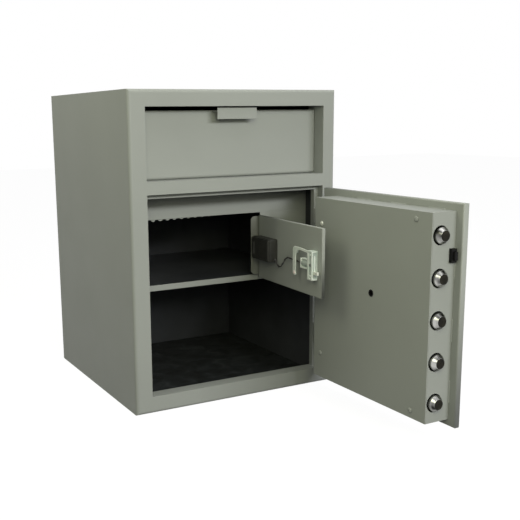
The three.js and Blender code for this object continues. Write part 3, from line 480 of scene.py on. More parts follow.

# Cover screws: four pan heads with a cross recess, each turned home to its own angle. Three are in the door's
# enamel; the upper one by the hinge is bright zinc, a painted highlight for the glint on it.


def turned(shell, profile, place, direction, sides=96, index=0, closed=False):
    """Turns (radius, height) pairs about a line through place and adds the skin to a bmesh."""
    where = Matrix.Translation(place) @ Vector(direction).to_track_quat("Z", "Y").to_matrix().to_4x4()
    rings = []
    for radius, height in profile:
        if radius < 1e-7:
            rings.append([shell.verts.new(where @ Vector((0, 0, height)))])
            continue
        rings.append([
            shell.verts.new(where @ Vector((radius * math.cos(angle), radius * math.sin(angle), height)))
            for angle in (step * math.tau / sides for step in range(sides))
        ])
    pairs = list(zip(rings, rings[1:]))
    if closed:
        pairs.append((rings[-1], rings[0]))
    for lower, upper in pairs:
        for step in range(sides):
            after = (step + 1) % sides
            if len(lower) == 1:
                corners = (lower[0], upper[after], upper[step])
            elif len(upper) == 1:
                corners = (lower[step], lower[after], upper[0])
            else:
                corners = (lower[step], lower[after], upper[after], upper[step])
            shell.faces.new(corners).material_index = index


def template(name, shell, width=0.0, segments=2, recess=None):
    """A piece to be repeated. Only the Geometry Nodes read it, and it is removed after the bake."""
    bmesh.ops.recalc_face_normals(shell, faces=shell.faces)
    for face in shell.faces:
        face.smooth = True
    mesh = bpy.data.meshes.new(name)
    shell.to_mesh(mesh)
    shell.free()
    holder = bpy.data.objects.new(name, mesh)
    bpy.context.scene.collection.objects.link(holder)
    if width:
        easing = holder.modifiers.new("eased_edges", "BEVEL")
        easing.width = width
        easing.segments = segments
        easing.limit_method = "ANGLE"
    if recess:
        cutting = holder.modifiers.new("recess", "BOOLEAN")
        cutting.operation = "DIFFERENCE"
        cutting.solver = "EXACT"
        cutting.object = recess
    return holder


def repeated(name, arrange, pattern, finish, values, points=((0, 0, 0),)):
    """Places copies of a template with Geometry Nodes, bakes them, and gives them back as a bmesh."""
    tree = bpy.data.node_groups.new(name, "GeometryNodeTree")
    graph = Finish(tree)
    tree.interface.new_socket("Points", in_out="INPUT", socket_type="NodeSocketGeometry")
    tree.interface.new_socket("Pieces", in_out="OUTPUT", socket_type="NodeSocketGeometry")
    settings = {"Template": pattern, "Finish": finish.material, **values}
    kinds = {int: "NodeSocketInt", float: "NodeSocketFloat"}
    sockets = {}
    for label, value in settings.items():
        kind = kinds.get(type(value), "NodeSocketObject" if label == "Template" else "NodeSocketMaterial")
        sockets[label] = tree.interface.new_socket(label, in_out="INPUT", socket_type=kind).identifier

    def given(label):
        return graph.add("NodeGroupInput", {}, {}, label)

    shape = graph.add(
        "GeometryNodeObjectInfo", {"transform_space": "ORIGINAL"}, {"Object": given("Template")}, "Geometry"
    )
    placed = arrange(graph, given, shape)
    real = graph.add("GeometryNodeRealizeInstances", {}, {0: placed})
    painted = graph.add("GeometryNodeSetMaterial", {}, {"Geometry": real, "Material": given("Finish")})
    graph.add("NodeGroupOutput", {}, {0: painted})

    carrier_mesh = bpy.data.meshes.new(name + "_points")
    carrier_mesh.from_pydata(points, [], [])
    carrier = bpy.data.objects.new(name + "_points", carrier_mesh)
    bpy.context.scene.collection.objects.link(carrier)
    maker = carrier.modifiers.new("repeat", "NODES")
    maker.node_group = tree
    for label, value in settings.items():
        maker[sockets[label]] = value
    baked = bpy.data.meshes.new_from_object(carrier.evaluated_get(bpy.context.evaluated_depsgraph_get()))
    carrier.modifiers.remove(maker)
    bpy.data.objects.remove(carrier)
    bpy.data.objects.remove(pattern)
    shell = bmesh.new()
    shell.from_mesh(baked)
    for face in shell.faces:
        face.material_index = 0
    bpy.data.meshes.remove(baked)
    return shell


def at_points(graph, given, shape):
    """One copy at each point, each spun by a seeded amount about its own axis."""
    least, most, seed = 2, 3, 8
    spin = graph.add(
        "FunctionNodeRandomValue",
        {"data_type": "FLOAT"},
        {least: 0.0, most: math.tau, seed: given("Seed")},
        1,
    )
    spun = graph.add("ShaderNodeCombineXYZ", {}, {"Z": spin})
    return graph.add(
        "GeometryNodeInstanceOnPoints",
        {},
        {"Points": given("Points"), "Instance": shape, "Rotation": spun},
    )


zinc = material("bright_zinc", (0.78, 0.80, 0.72), 0.45, 0.35)
vary(zinc, 0.38, 0.54, 90.0, output="Roughness")
screw = bmesh.new()
shank_radius, shank_end, seat = 0.0027, -0.0079, 0.0003
head_radius, head_height = 0.0055, 0.0028
dome = [
    (head_radius * math.cos(angle), seat + (head_height - seat) * math.sin(angle))
    for angle in (math.radians(step * 9) for step in range(2, 9))
]
turned(
    screw,
    [(0, shank_end), (0.0024, shank_end), (shank_radius, -0.0072), (shank_radius, seat), (head_radius, seat),
     (head_radius, 0.0009), *dome, (0, head_height)],
    (0, 0, 0), (0, 0, 1), 48,
)
cross = bmesh.new()
half, arm, depth = 0.0004, 0.0023, head_height - 0.0013
outline = [(arm, -half), (arm, half), (half, half), (half, arm), (-half, arm), (-half, half),
           (-arm, half), (-arm, -half), (-half, -half), (-half, -arm), (half, -arm), (half, -half)]
low_ring = [cross.verts.new((x * 0.6, y * 0.6, depth)) for x, y in outline]
high_ring = [cross.verts.new((x, y, head_height + 0.001)) for x, y in outline]
cross.faces.new(low_ring)
cross.faces.new(high_ring)
for step in range(len(outline)):
    after = (step + 1) % len(outline)
    cross.faces.new((low_ring[step], low_ring[after], high_ring[after], high_ring[step]))
cross_cutter = template("cross_cutter", cross)
screw_nodes = [f"panel_screw_{number}" for number in range(1, 5)]
screw_middles = [(low + high) / 2 for low, high in map(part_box, screw_nodes)]
away = (door_turn.to_3x3() @ Vector((0, 1, 0))).to_track_quat("Z", "Y").to_matrix().to_4x4()
to_cover = away.inverted()
cover_x = (door_turn @ Vector((0, cover_front, 0))).x
screws = repeated(
    "cover_screws",
    at_points,
    template("screw", screw, recess=cross_cutter),
    zinc,
    {"Seed": 4},
    [tuple(to_cover @ Vector((cover_x, middle.y, middle.z))) for middle in screw_middles],
)
bpy.data.objects.remove(cross_cutter)
screws.transform(away)
# Painted highlight: the upper screw by the hinge keeps the bright zinc, the others take the enamel.
for face in screws.faces:
    centre = face.calc_center_median()
    shows_painted_glint = centre.y > -0.45 and centre.z > 0.25
    face.material_index = 0 if shows_painted_glint else 1
finished("cover_screws", screws, [zinc, enamel_grey], "main_door", screw_nodes)

# Change-key bush: a black plastic grommet pressed into the cover. The key for setting the lock goes in
# through it.
plastic = material("black_plastic", (0.005, 0.005, 0.005), 0.6, specular_ior_level=0.15)
vary(plastic, 0.52, 0.68, 150.0, output="Roughness")
rough_up(plastic, clouds_on(plastic, 700.0, 3.0), 0.00006, 0.5)
eased("change_key_bush", plastic, 0.0002)

# Locking bolts: five turned steel bars, 1 1/4 inch, chromed and bevelled at the nose. The chrome is mottled
# dark and the flat ends drawn nearly black, painted reflection of a darker room, with a turning centre in the
# middle.
chrome = material("chrome", (0.56, 0.57, 0.58), 0.12, 1.0)
vary(chrome, (0.50, 0.51, 0.52), (0.60, 0.61, 0.62), 8.0)
vary(chrome, 0.07, 0.19, 60.0, output="Roughness")
rough_up(chrome, clouds_on(chrome, 260.0, 2.0), 0.00003, 0.4)
# Dark mottling in the bolts' chrome: painted reflection of a darker room.
bolt_chrome_painted_reflection = material("bolt_chrome_reflections_painted", (0.40, 0.40, 0.38), 0.16, 1.0)
vary(bolt_chrome_painted_reflection, (0.02, 0.02, 0.018), (0.46, 0.46, 0.44), 62.0, 1.0)
vary(bolt_chrome_painted_reflection, 0.10, 0.26, 90.0, output="Roughness")
rough_up(bolt_chrome_painted_reflection, clouds_on(bolt_chrome_painted_reflection, 120.0, 2.0), 0.0003, 0.5)
# Nearly black end faces: painted reflection, the dark that the flat ends mirror.
bolt_end_painted_reflection = material("bolt_end_dark_reflection", (0.008, 0.008, 0.007), 0.6, specular_ior_level=0.1)
vary(bolt_end_painted_reflection, (0.003, 0.003, 0.002), (0.022, 0.020, 0.014), 70.0, 4.0)
vary(bolt_end_painted_reflection, 0.4, 0.6, 150.0, output="Roughness")
bolt_radius, bolt_nose, bolt_flat = 0.0159, 0.01065, 0.0101
for number in range(1, 6):
    node = f"locking_bolt_{number}"
    low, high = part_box(node)
    bolt = bmesh.new()
    middle = (low + high) / 2
    tip = Vector((middle.x, low.y, middle.z))
    length = high.y - low.y
    turned(
        bolt,
        [(bolt_flat, 0.0), (0.0105, 0.0001), (bolt_nose, 0.0004), (0.0153, 0.0063), (0.0157, 0.0068),
         (bolt_radius, 0.0074), (bolt_radius, length - 0.0012), (0.0147, length), (0, length)],
        tip, (0, 1, 0),
    )
    turned(
        bolt,
        [(0, 0.0017), (0.0011, 0.0005), (0.0014, 0.0002), (0.0050, 0.00015), (0.0052, 0.00025),
         (bolt_flat, 0.0)],
        tip, (0, 1, 0), index=1,
    )
    bmesh.ops.remove_doubles(bolt, verts=bolt.verts, dist=1e-6)
    finished(f"bolt_{number}", bolt, [bolt_chrome_painted_reflection, bolt_end_painted_reflection], "boltwork", [node])

# Works inside the bolt box: guide and carriage of flame-cut plate, the cam on its spindle, the hard plate
# over the lock, and the zinc lock case with its brass bolt. The closed cover hides them.
for node in ("hard_plate", "bolt_guide", "bolt_carriage", "handle_spindle"):
    eased(node, steel, 0.0004)
eased("lock_case", zinc, 0.0012, 3)
brass = material("brass", (0.50, 0.34, 0.11), 0.35, 1.0)
vary(brass, 0.26, 0.44, 120.0, output="Roughness")
eased("lock_bolt", brass, 0.0006)

# Handle: a chromed cuff on the plate, and a lever turned with a waist and a rounded end that hangs
# straight down when the bolts are drawn back.
handle_x, handle_z, plate_front = -0.006, 0.195, -0.254
lever_out = 0.0420
cuff_bore, cuff_radius = 0.0086, 0.0200
cuff = bmesh.new()
turned(
    cuff,
    [(cuff_bore, 0.0089), (0.0164, 0.0089), (0.0186, 0.0078), (0.0196, 0.0058), (cuff_radius, 0.0040),
     (cuff_radius, 0.0003), (cuff_bore, 0.0003)],
    (handle_x, plate_front, handle_z), (0, -1, 0), 72, closed=True,
)
cuff.transform(door_turn)
finished("handle_cuff_piece", cuff, [chrome], "main_door", ["handle_cuff"], 0.0003)

lever = bmesh.new()
turned(
    lever,
    [(0, 0.0500), (0.0105, 0.0500), (0.0128, 0.0490), (0.0138, 0.0468), (0.0140, 0.0330),
     (0.0126, 0.0300), (0.0122, 0.0230), (0.0140, 0.0200), (0.0140, 0.0108), (0.0132, 0.0095), (0, 0.0095)],
    (handle_x, plate_front, handle_z), (0, -1, 0), 72,
)
end_radius, end_middle, end_reach = 0.0078, 0.0920, 0.0118
rounded_end = [
    (end_radius * math.cos(angle), end_middle + end_reach * math.sin(angle))
    for angle in (math.radians(step * 15) for step in range(-3, 6))
]
turned(
    lever,
    [(0, -0.006), (0.0070, -0.002), (0.0066, 0.016), (0.0060, 0.030), (0.0062, 0.050), (0.0070, 0.074),
     *rounded_end, (0, end_middle + end_reach)],
    (handle_x, plate_front - lever_out, handle_z), (0, 0, -1), 48,
)
lever.transform(door_turn)
finished("handle_lever_piece", lever, [chrome], "handle", ["handle_lever"], 0.0002)

# Combination dial: a chromed ring round a black dial with a hundred white marks, every tenth longer and
# numbered, and a knurled knob to turn it by. The index mark is on the ring.
dial_x, dial_z = -0.006, 0.290
ring_bore, ring_radius, ring_height = 0.0401, 0.0460, 0.0090
ring = bmesh.new()
turned(
    ring,
    [(ring_bore, 0.0003), (0.0458, 0.0003), (ring_radius, 0.0010), (ring_radius, 0.0058), (0.0452, 0.0076),
     (0.0436, 0.0088), (0.0424, ring_height), (ring_bore, ring_height)],
    (dial_x, plate_front, dial_z), (0, -1, 0), 120, closed=True,
)
ring.transform(door_turn)
finished("dial_ring_piece", ring, [chrome], "main_door", ["dial_ring"], 0.0003)

dial_black = material(
    "dial_black", (0.008, 0.008, 0.009), 0.38, specular_ior_level=0.3, coat_weight=0.08, coat_roughness=0.1
)
vary(dial_black, 0.32, 0.44, 160.0, output="Roughness")
mark_white = material("mark_white", (0.80, 0.80, 0.76), 0.55)
vary(mark_white, (0.74, 0.74, 0.70), (0.84, 0.84, 0.80), 300.0)
knob_radius, spindle_radius, spindle_end = 0.0204, 0.0040, -0.0274
cone_start, cone_end = (0.0210, 0.0130), (0.0345, 0.0086)
dial = bmesh.new()
turned(
    dial,
    [(0, 0.0334), (0.0070, 0.0334), (0.0085, 0.0337), (0.0175, 0.0340), (0.0194, 0.0334),
     (knob_radius, 0.0320), (knob_radius, 0.0150), (0.0196, 0.0137), cone_start, cone_end, (0.0360, 0.0080),
     (0.0374, 0.0062), (0.0388, 0.0026), (0.0390, 0.0012), (spindle_radius, 0.0010),
     (spindle_radius, spindle_end), (0, spindle_end)],
    (dial_x, plate_front, dial_z), (0, -1, 0), 144,
)
dial.transform(door_turn)
finished("dial_piece", dial, [dial_black], "dial", ["combination_dial"], 0.0002)


def block(shell, low, high, index=0):
    """Adds a box between two corners to a bmesh."""
    low, high = Vector(low), Vector(high)
    made = bmesh.ops.create_cube(shell, size=1)["verts"]
    size = Matrix.Diagonal((*(high - low), 1))
    bmesh.ops.transform(shell, matrix=Matrix.Translation((low + high) / 2) @ size, verts=made)
    for face in {face for vert in made for face in vert.link_faces}:
        face.material_index = index


def in_a_ring(graph, given, shape):
    """Copies stand on a circle, each turned to face outwards, every tenth one longer by Long."""
    index = graph.add("GeometryNodeInputIndex")
    circle = graph.add(
        "GeometryNodeMeshCircle",
        {"fill_type": "NONE"},
        {"Vertices": given("Count"), "Radius": given("Radius")},
    )
    turn = graph.add("ShaderNodeCombineXYZ", {}, {"Z": index * math.tau / given("Count")})
    stretch = (index % 10).below(0.5) * given("Long") + 1.0
    size = graph.add("ShaderNodeCombineXYZ", {}, {"X": stretch, "Y": 1.0, "Z": stretch})
    return graph.add(
        "GeometryNodeInstanceOnPoints",
        {},
        {"Points": circle, "Instance": shape, "Rotation": turn, "Scale": size},
    )


to_dial = door_turn @ Matrix.Translation((dial_x, plate_front, dial_z)) @ Matrix.Rotation(math.pi / 2, 4, "X")
to_top = Matrix.Rotation(math.pi / 2, 4, "Z")
cone_lean = Matrix.Rotation(math.radians(18), 4, "Y")
tick_length, tick_half, tick_height = 0.0016, 0.00022, 0.00012
tick = bmesh.new()
block(tick, (-tick_length, -tick_half, 0), (0.0, tick_half, tick_height))
tick.transform(cone_lean)
ticks = repeated(
    "dial_ticks", in_a_ring, template("tick", tick), mark_white,
    {"Count": 100, "Radius": cone_end[0], "Long": 0.9},
)
ticks.transform(to_dial @ to_top @ Matrix.Translation((0, 0, cone_end[1] + 0.0002)))
finished("dial_ticks", ticks, [mark_white], "dial", [])
ridge = bmesh.new()
block(ridge, (-0.0006, -0.00038, 0.0162), (0.00055, 0.00038, 0.0312))
knurl = repeated(
    "dial_knurl", in_a_ring, template("ridge", ridge, 0.0002, 2), dial_black,
    {"Count": 72, "Radius": knob_radius, "Long": 0.0},
)
knurl.transform(to_dial)
finished("dial_knurl", knurl, [dial_black], "dial", [])


def numeral(shell, words, height, matrix):
    """Adds plain raised figures, set in the built-in face, to a bmesh."""
    curve = bpy.data.curves.new("figure", "FONT")
    curve.body = words
    curve.size = height
    curve.align_x, curve.align_y = "CENTER", "CENTER"
    curve.extrude = 0.00006
    curve.resolution_u = 3
    holder = bpy.data.objects.new("figure", curve)
    bpy.context.scene.collection.objects.link(holder)
    flat = bpy.data.meshes.new_from_object(holder.evaluated_get(bpy.context.evaluated_depsgraph_get()))
    flat.transform(matrix)
    shell.from_mesh(flat)
    bpy.data.objects.remove(holder)
    bpy.data.meshes.remove(flat)


figure_height, figure_ring, figure_level = 0.0052, 0.0283, 0.01078
figures = bmesh.new()
for count in range(10):
    angle = math.pi / 2 - math.tau * count / 10
    where = Matrix.Rotation(angle, 4, "Z") @ Matrix.Translation((figure_ring, 0, figure_level))
    lean = cone_lean @ Matrix.Rotation(-math.pi / 2, 4, "Z")
    numeral(figures, str(count * 10), figure_height, where @ lean)
figures.transform(to_dial)
finished("dial_figures", figures, [mark_white], "dial", [])
index_mark = bmesh.new()
block(index_mark, (0.0405, -0.0005, ring_height - 0.00015), (0.0440, 0.0005, ring_height + 0.00015))
index_mark.transform(to_dial @ to_top)
finished("dial_index", index_mark, [dial_black], "main_door", [])

# Door trip: a black moulded block let into the free side of the box, with a sprung plunger that feels
# whether the door is shut.
eased("trip_housing", plastic, 0.0007, 3)
eased("trip_plunger", plastic, 0.0012, 4)

# Locker door: a steel panel in the same enamel, with a flange turned in along its hinge side that is drawn
# in a darker grey, painted shade where it stands back, on a plain butt hinge with a loose pin.
inner_turn = swing("locker_door_swing", 87)
inner_face = -0.1475
# The flange's darker grey is painted shade, as it stands back inside the compartment.
flange_painted_shade = enamel("flange_shade_grey", (0.175, 0.180, 0.160), 0.05, 0.5)


def on_flange(face):
    """Whether a face stands inward of the panel's inner face, as it is with the door shut."""
    return (inner_turn.inverted() @ face.calc_center_median()).y > inner_face - 0.0001


eased("inner_door_panel", enamel_grey, 0.0, 2, flange_painted_shade, on_flange)
for node in ("inner_hinge_fixed", "inner_hinge_moving"):
    eased(node, steel, 0.0003)
eased("inner_hinge_pin", steel, 0.0006)

# Battery box: a black moulded box screwed to the inner face, with a lid that has a rim, three grip ribs
# and a thumb catch at its lower edge.


def rounded_outline(u0, u1, v0, v1, radius, steps=6):
    """Corner points of a rounded rectangle, anticlockwise."""
    left, right, bottom, top = u0 + radius, u1 - radius, v0 + radius, v1 - radius
    centres = [(right, bottom, -90), (right, top, 0), (left, top, 90), (left, bottom, 180)]
    return [
        (u + radius * math.cos(angle), v + radius * math.sin(angle))
        for u, v, first in centres
        for angle in (math.radians(first + 90 * step / steps) for step in range(steps + 1))
    ]


def slab(shell, outline, y0, y1):
    """Adds a plate to a bmesh: an outline in XZ, from y0 to y1."""
    near = [shell.verts.new((u, y0, v)) for u, v in outline]
    far = [shell.verts.new((u, y1, v)) for u, v in outline]
    shell.faces.new(near)
    shell.faces.new(far)
    for step in range(len(outline)):
        after = (step + 1) % len(outline)
        shell.faces.new((near[step], near[after], far[after], far[step]))


moulded = material("moulded_black", (0.030, 0.030, 0.026), 0.5, specular_ior_level=0.35)
vary(moulded, (0.022, 0.022, 0.019), (0.040, 0.040, 0.035), 40.0)
vary(moulded, 0.42, 0.58, 120.0, output="Roughness")
rough_up(moulded, clouds_on(moulded, 800.0, 2.0), 0.00008, 0.7)
battery_left, battery_right, battery_bottom, battery_top = 0.0168, 0.0988, 0.3035, 0.3555
battery_corner, battery_deep, lid_inset, rim_inset = 0.0035, 0.020, 0.001, 0.0036


def battery_outline(inset, corner):
    """Outline of the battery box, drawn in all round."""
    return rounded_outline(
        battery_left + inset, battery_right - inset, battery_bottom + inset, battery_top - inset, corner
    )


battery = bmesh.new()
slab(battery, battery_outline(0, battery_corner), inner_face, inner_face + battery_deep)
for x in (battery_left + 0.002, battery_right - 0.002):
    block(battery, (x - 0.0016, inner_face + 0.004, 0.3210), (x + 0.0016, inner_face + 0.018, 0.3380))
battery.transform(inner_turn)
finished("battery_box_piece", battery, [moulded], "locker_door", ["battery_box"], 0.0016, 4)
lid = bmesh.new()
slab(lid, battery_outline(lid_inset, battery_corner), inner_face + 0.0203, inner_face + 0.0238)
slab(lid, battery_outline(rim_inset, 0.0030), inner_face + 0.0230, inner_face + 0.0249)
for x in (0.0830, 0.0862, 0.0894):
    block(lid, (x - 0.0006, inner_face + 0.0240, 0.3150), (x + 0.0006, inner_face + 0.02575, 0.3440))
block(lid, (0.0480, inner_face + 0.0240, 0.3048), (0.0640, inner_face + 0.0256, 0.3082))
lid.transform(inner_turn)
finished("battery_lid_piece", lid, [moulded], "locker_door", ["battery_lid"], 0.0009, 3)

# Lead: two thin black wires twisted together, from a grommet in the end of the battery box, down in a
# loop and up behind the bracket to the solenoid.


def swept(shell, points, radius, sides):
    """Adds a round wire along a smooth line through the points to a bmesh."""
    pieces = 8
    line = []
    padded = [points[0] * 2 - points[1], *points, points[-1] * 2 - points[-2]]
    for before, start, end, after in zip(padded, padded[1:], padded[2:], padded[3:]):
        bend = 2 * before - 5 * start + 4 * end - after
        swerve = 3 * start - before - 3 * end + after
        for step in range(pieces):
            t = step / pieces
            line.append(0.5 * ((2 * start) + (end - before) * t + bend * t * t + swerve * t ** 3))
    line.append(points[-1])
    side = None
    rings = []
    for spot, (back, on) in enumerate(zip([line[0], *line[:-1]], [*line[1:], line[-1]])):
        forward = (on - back).normalized()
        side = forward.orthogonal() if side is None else side - forward * side.dot(forward)
        side.normalize()
        up = forward.cross(side)
        rings.append([
            shell.verts.new(line[spot] + radius * (side * math.cos(angle) + up * math.sin(angle)))
            for angle in (step * math.tau / sides for step in range(sides))
        ])
    shell.faces.new(rings[0])
    shell.faces.new(rings[-1])
    for lower, upper in zip(rings, rings[1:]):
        for step in range(sides):
            after = (step + 1) % sides
            shell.faces.new((lower[step], lower[after], upper[after], upper[step]))


rubber = material("wire_rubber", (0.020, 0.020, 0.019), 0.5)
vary(rubber, (0.014, 0.014, 0.013), (0.030, 0.029, 0.027), 200.0)
vary(rubber, 0.42, 0.60, 90.0, output="Roughness")
coil_right = -0.1019
start_x, end_x, lead_y = battery_left - 0.0003, coil_right + 0.0003, inner_face + 0.007
route = [
    (0.004, 5.5), (0.034, 4.9), (0.077, -2), (0.145, -7), (0.239, -4.5), (0.324, 5.5), (0.4, 15.5),
    (0.494, 20), (0.75, 18.5), (1, 18),
]
centre_line = [
    Vector((start_x + share * (end_x - start_x), lead_y, battery_bottom + rise / 1000))
    for share, rise in route
]
strand_step, strand_twist, strand_offset, strand_radius = 0.0035, 0.75, 0.00092, 0.00098
lead = bmesh.new()
for half_turn in (0, math.pi):
    strand = []
    for lower, upper in zip(centre_line, centre_line[1:]):
        steps = max(1, round((upper - lower).length / strand_step))
        for step in range(steps):
            spot = lower.lerp(upper, step / steps)
            twist = half_turn + len(strand) * strand_twist
            along = (upper - lower).normalized()
            side = Vector((0, 1, 0))
            up = along.cross(side).normalized()
            strand.append(spot + strand_offset * (side * math.cos(twist) + up * math.sin(twist)))
    strand.append(centre_line[-1])
    swept(lead, strand, strand_radius, 10)
turned(
    lead,
    [(0.0001, 0.0), (0.0031, 0.0), (0.0034, 0.0006), (0.0030, 0.0030), (0.0001, 0.0034)],
    (start_x, lead_y, 0.3090), (-1, 0, 0), 32,
)
lead.transform(inner_turn)
finished("battery_lead_piece", lead, [rubber], "locker_door", ["battery_lead"])

# Lock of the locker door: a zinc-plated steel frame with flanges at top and bottom round a ribbed case,
# a solenoid in a small open frame beside it, and a cane-shaped bracket from the case over the solenoid.
plated = material("plated_frame", (0.80, 0.85, 0.79), 0.45, 0.15)
vary(plated, (0.66, 0.76, 0.68), (0.90, 0.92, 0.88), 45.0, 4.0)
vary(plated, 0.38, 0.54, 70.0, output="Roughness")
case_grey = material("case_grey", (0.44, 0.50, 0.46), 0.5, 0.2)
vary(case_grey, (0.36, 0.43, 0.39), (0.52, 0.57, 0.53), 60.0, 4.0)
# Nearly black: painted shade for a hole, laid on a solid disc.
hole_painted_shade = material("hole_painted_shade", (0.02, 0.03, 0.026), 0.6)
vary(hole_painted_shade, (0.01, 0.016, 0.014), (0.03, 0.042, 0.036), 200.0)
case_left, case_right, case_bottom, case_top = -0.1527, -0.1337, 0.2905, 0.3525
case_out, case_foot, foot_y = inner_face + 0.014, case_bottom + 0.004, inner_face + 0.0018
case_head, screw_x = case_top - 0.0032, (case_left + case_right) / 2 - 0.0006
lock = bmesh.new()
block(lock, (case_left, inner_face, case_bottom), (case_right, foot_y, case_top))
block(lock, (case_left + 0.0004, foot_y, case_head), (case_right, case_out, case_top))
block(lock, (case_left + 0.0004, foot_y, case_bottom), (case_right, case_out, case_foot))
block(lock, (case_left + 0.0016, foot_y, case_foot), (case_right - 0.0008, case_out - 0.0016, case_head), 1)
for x0, x1 in ((case_left, case_left + 0.0048), (case_right - 0.0066, case_right)):
    block(lock, (x0, case_out - 0.0028, case_bottom + 0.001), (x1, case_out, case_top - 0.001))
block(
    lock,
    (case_left, inner_face + 0.0050, case_bottom + 0.012),
    (case_left + 0.0030, inner_face + 0.0085, case_top - 0.010),
)
# The dark disc in the middle of the case stands for a hole: painted shade.
turned(
    lock,
    [(0, 0.0006), (0.0020, 0.0006), (0.0034, 0.0004), (0.0036, -0.0030), (0, -0.0030)],
    (screw_x, case_out - 0.0012, 0.3222), (0, 1, 0), 32, 2,
)
for z in (0.2990, 0.3440):
    turned(
        lock,
        [(0, 0.0012), (0.0012, 0.0011), (0.0021, 0.0006), (0.0023, -0.0010), (0, -0.0010)],
        (screw_x, case_out - 0.0010, z), (0, 1, 0), 24,
    )
lock.transform(inner_turn)
finished(
    "lock_case_piece", lock, [plated, case_grey, hole_painted_shade], "locker_door",
    ["inner_lock_case"], 0.0005,
)

coil = bmesh.new()
coil_left, coil_bottom, coil_top, coil_out = -0.1334, 0.311, 0.332, inner_face + 0.012
coil_back, coil_cheek = inner_face + 0.0016, coil_right - 0.0028
block(coil, (coil_left, inner_face, coil_bottom), (coil_right, coil_back, coil_top))
block(coil, (coil_cheek, coil_back, coil_bottom), (coil_right, coil_out, coil_top))
block(coil, (coil_left, coil_back, coil_bottom), (coil_cheek, coil_out, coil_bottom + 0.0034))
block(coil, (coil_left, coil_back, coil_top - 0.0022), (coil_cheek, coil_out - 0.002, coil_top))
turned(
    coil,
    [(0, 0.0), (0.0068, 0.0), (0.0070, 0.0004), (0.0070, 0.0225), (0.0068, 0.0229), (0, 0.0229)],
    (coil_left + 0.003, inner_face + 0.0056, (coil_bottom + coil_top) / 2 + 0.0006), (1, 0, 0), 40, 1,
)
coil.transform(inner_turn)
finished("solenoid_piece", coil, [plated, case_grey], "locker_door", ["solenoid"], 0.0004)

strap = bmesh.new()
strap_near, strap_far = inner_face + 0.012, inner_face + 0.014
strap_left, strap_right, strap_bottom, strap_top = -0.0882, -0.0742, 0.291, 0.355
bend_radius, foot_height, foot_half = 0.009, 0.006, 0.007
bend_x, bend_z = strap_right - bend_radius, strap_top - bend_radius
foot_x, foot_z = (strap_left + strap_right) / 2, strap_bottom + foot_height
arm_end, stem_left = case_right + 0.0003, strap_left + 0.0022
crook = [
    (bend_x + bend_radius * math.cos(angle), bend_z + bend_radius * math.sin(angle))
    for angle in (math.radians(15 * step) for step in range(1, 7))
]
foot = [
    (foot_x + foot_half * math.cos(angle), foot_z + foot_height * math.sin(angle))
    for angle in (math.radians(180 + 22.5 * step) for step in range(1, 8))
]
cane = [
    (strap_right, foot_z), (strap_right, bend_z), *crook, (-0.1060, strap_top - 0.0004),
    (arm_end, strap_top - 0.0028), (arm_end, strap_top - 0.0080), (-0.1060, strap_top - 0.0058),
    (-0.0965, strap_top - 0.0068), (-0.0905, strap_top - 0.0100), (-0.0870, strap_top - 0.0165),
    (stem_left, strap_top - 0.0240), (stem_left, foot_z), *foot,
]
slab(strap, cane, strap_near, strap_far)
tab_left, tab_bottom, tab_top = strap_right - 0.0022, strap_top - 0.0165, strap_top - 0.0085
block(strap, (tab_left, inner_face, tab_bottom), (strap_right - 0.0002, strap_far - 0.0004, tab_top))
block(strap, (tab_left, inner_face, tab_bottom), (strap_right + 0.0070, inner_face + 0.0018, tab_top))
turned(
    strap,
    [(0, 0.0016), (0.0024, 0.0014), (0.0042, 0.0007), (0.0046, 0.0), (0.0046, -0.0012), (0, -0.0012)],
    (foot_x, strap_far, strap_bottom + 0.0066), (0, 1, 0), 36, 1,
)
strap.transform(inner_turn)
# The pale pink of the cap on the bracket's foot is a painted highlight, for a pinkish glint on the rounded
# end.
pink_painted_glint = material("pink_glint_cap", (0.90, 0.78, 0.76), 0.4)
vary(pink_painted_glint, (0.84, 0.70, 0.68), (0.94, 0.84, 0.82), 120.0)
finished("lock_bracket_piece", strap, [plated, pink_painted_glint], "locker_door", ["lock_bracket"], 0.0005)
eased("inner_latch_bolt", zinc, 0.0006)

# Keypad on the outer face: a black moulded housing, a soft key sheet with twelve keys and plain figures,
# and a small lamp at the top.
eased("keypad_housing", moulded, 0.002, 3)
pad_left, pad_right, pad_bottom, pad_top = -0.0427, 0.0113, 0.296, 0.358
pad_front, pad_back, pad_x = -0.1668, -0.1656, (pad_left + pad_right) / 2
sheet = bmesh.new()
slab(sheet, rounded_outline(pad_left, pad_right, pad_bottom, pad_top, 0.003), pad_front + 0.0004, pad_back)
turned(
    sheet,
    [(0, 0.0009), (0.0010, 0.0007), (0.0013, 0.0), (0.0013, -0.0003), (0, -0.0003)],
    (pad_x, pad_front + 0.0006, pad_top - 0.0042), (0, -1, 0), 20, 1,
)
sheet.transform(inner_turn)
lamp_red = material("lamp_red", (0.30, 0.02, 0.015), 0.2, coat_weight=0.5)
vary(lamp_red, (0.24, 0.015, 0.01), (0.36, 0.03, 0.02), 500.0)
finished("keypad_sheet", sheet, [rubber, lamp_red], "locker_door", ["keypad_membrane"], 0.0003)


def in_a_grid(graph, given, shape):
    """Copies stand in rows and columns on a flat grid."""
    grid = graph.add(
        "GeometryNodeMeshGrid",
        {},
        {
            "Size X": given("Width"), "Size Y": given("Height"),
            "Vertices X": given("Columns"), "Vertices Y": given("Rows"),
        },
    )
    return graph.add("GeometryNodeInstanceOnPoints", {}, {"Points": grid, "Instance": shape})


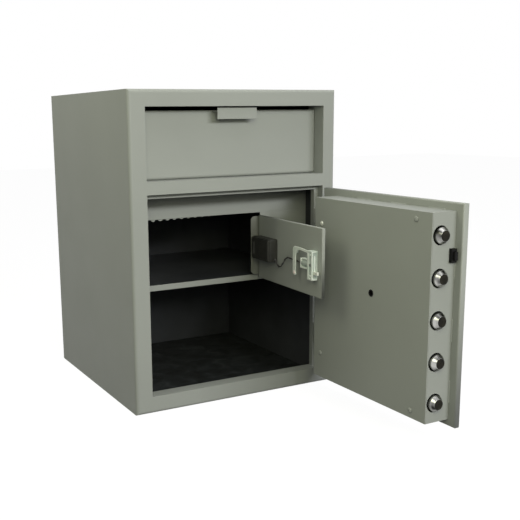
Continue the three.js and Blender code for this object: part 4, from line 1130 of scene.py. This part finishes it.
columns, rows, keys_width, keys_height = 3, 4, 0.0340, 0.0400
key_half_width, key_half_height, key_rise = 0.0062, 0.0048, 0.0007
key = bmesh.new()
key_outline = rounded_outline(-key_half_width, key_half_width, -key_half_height, key_half_height, 0.0014, 4)
slab(key, key_outline, 0, key_rise)
key.transform(Matrix.Rotation(math.pi / 2, 4, "X"))
keys = repeated(
    "keypad_keys", in_a_grid, template("key", key, 0.0002, 2), moulded,
    {"Width": keys_width, "Height": keys_height, "Columns": columns, "Rows": rows},
)
pad_middle = Vector((pad_x, pad_front + 0.0004, (pad_bottom + pad_top) / 2 - 0.0028))
to_pad = inner_turn @ Matrix.Translation(pad_middle) @ Matrix.Rotation(math.pi / 2, 4, "X")
keys.transform(to_pad @ Matrix.Scale(-1, 4, (0, 0, 1)) @ Matrix.Translation((0, 0, -0.0006)))
finished("keypad_keys", keys, [moulded], "locker_door", [])
key_figures = bmesh.new()
for place, figure in enumerate("123456789 0 "):
    if figure != " ":
        row, column = divmod(place, columns)
        x = keys_width / (columns - 1) * (column - 1)
        y = keys_height / 2 - keys_height / (rows - 1) * row
        numeral(key_figures, figure, 0.0062, Matrix.Translation((x, y, 0.0001)))
key_figures.transform(to_pad)
finished("keypad_figures", key_figures, [mark_white], "locker_door", [])

# Knob of the locker door: turned and chromed, with a flat finger bar across its face. Its spindle passes
# through the panel to the latch.
eased("inner_knob", chrome, 0.0006, 3)

# Hopper: a plate front whose bottom edge is rolled round the pivot pins, a folded pull tacked to its top,
# and a bucket of thin bare sheet behind it that swings out with it. The roll is drawn 8% fuller than its
# solid, so that the gap under it shows as a thin line.
hopper_front = eased("hopper_panel", enamel_grey, 0.0005)
hem_axis = Vector((0, *joints["hopper_tilt"]["pos_m"][1:]))
hem_least, hem_most, hem_growth = 0.0055, 0.0063, 0.08
for vertex in hopper_front.data.vertices:
    spoke = Vector((0, *vertex.co.yz)) - hem_axis
    if hem_least < spoke.length < hem_most:
        vertex.co += spoke * hem_growth
eased("hopper_pull", enamel_grey, 0.0006, 3)
sheet_steel = material("sheet_steel", (0.34, 0.35, 0.35), 0.38, 1.0)
vary(sheet_steel, (0.28, 0.29, 0.29), (0.40, 0.41, 0.41), 20.0, 5.0, (1, 1, 0.2))
vary(sheet_steel, 0.30, 0.46, 70.0, output="Roughness")
eased("hopper_bucket", sheet_steel, 0.0004)
for node in ("hopper_pin_left", "hopper_pin_right"):
    eased(node, steel, 0.0003)
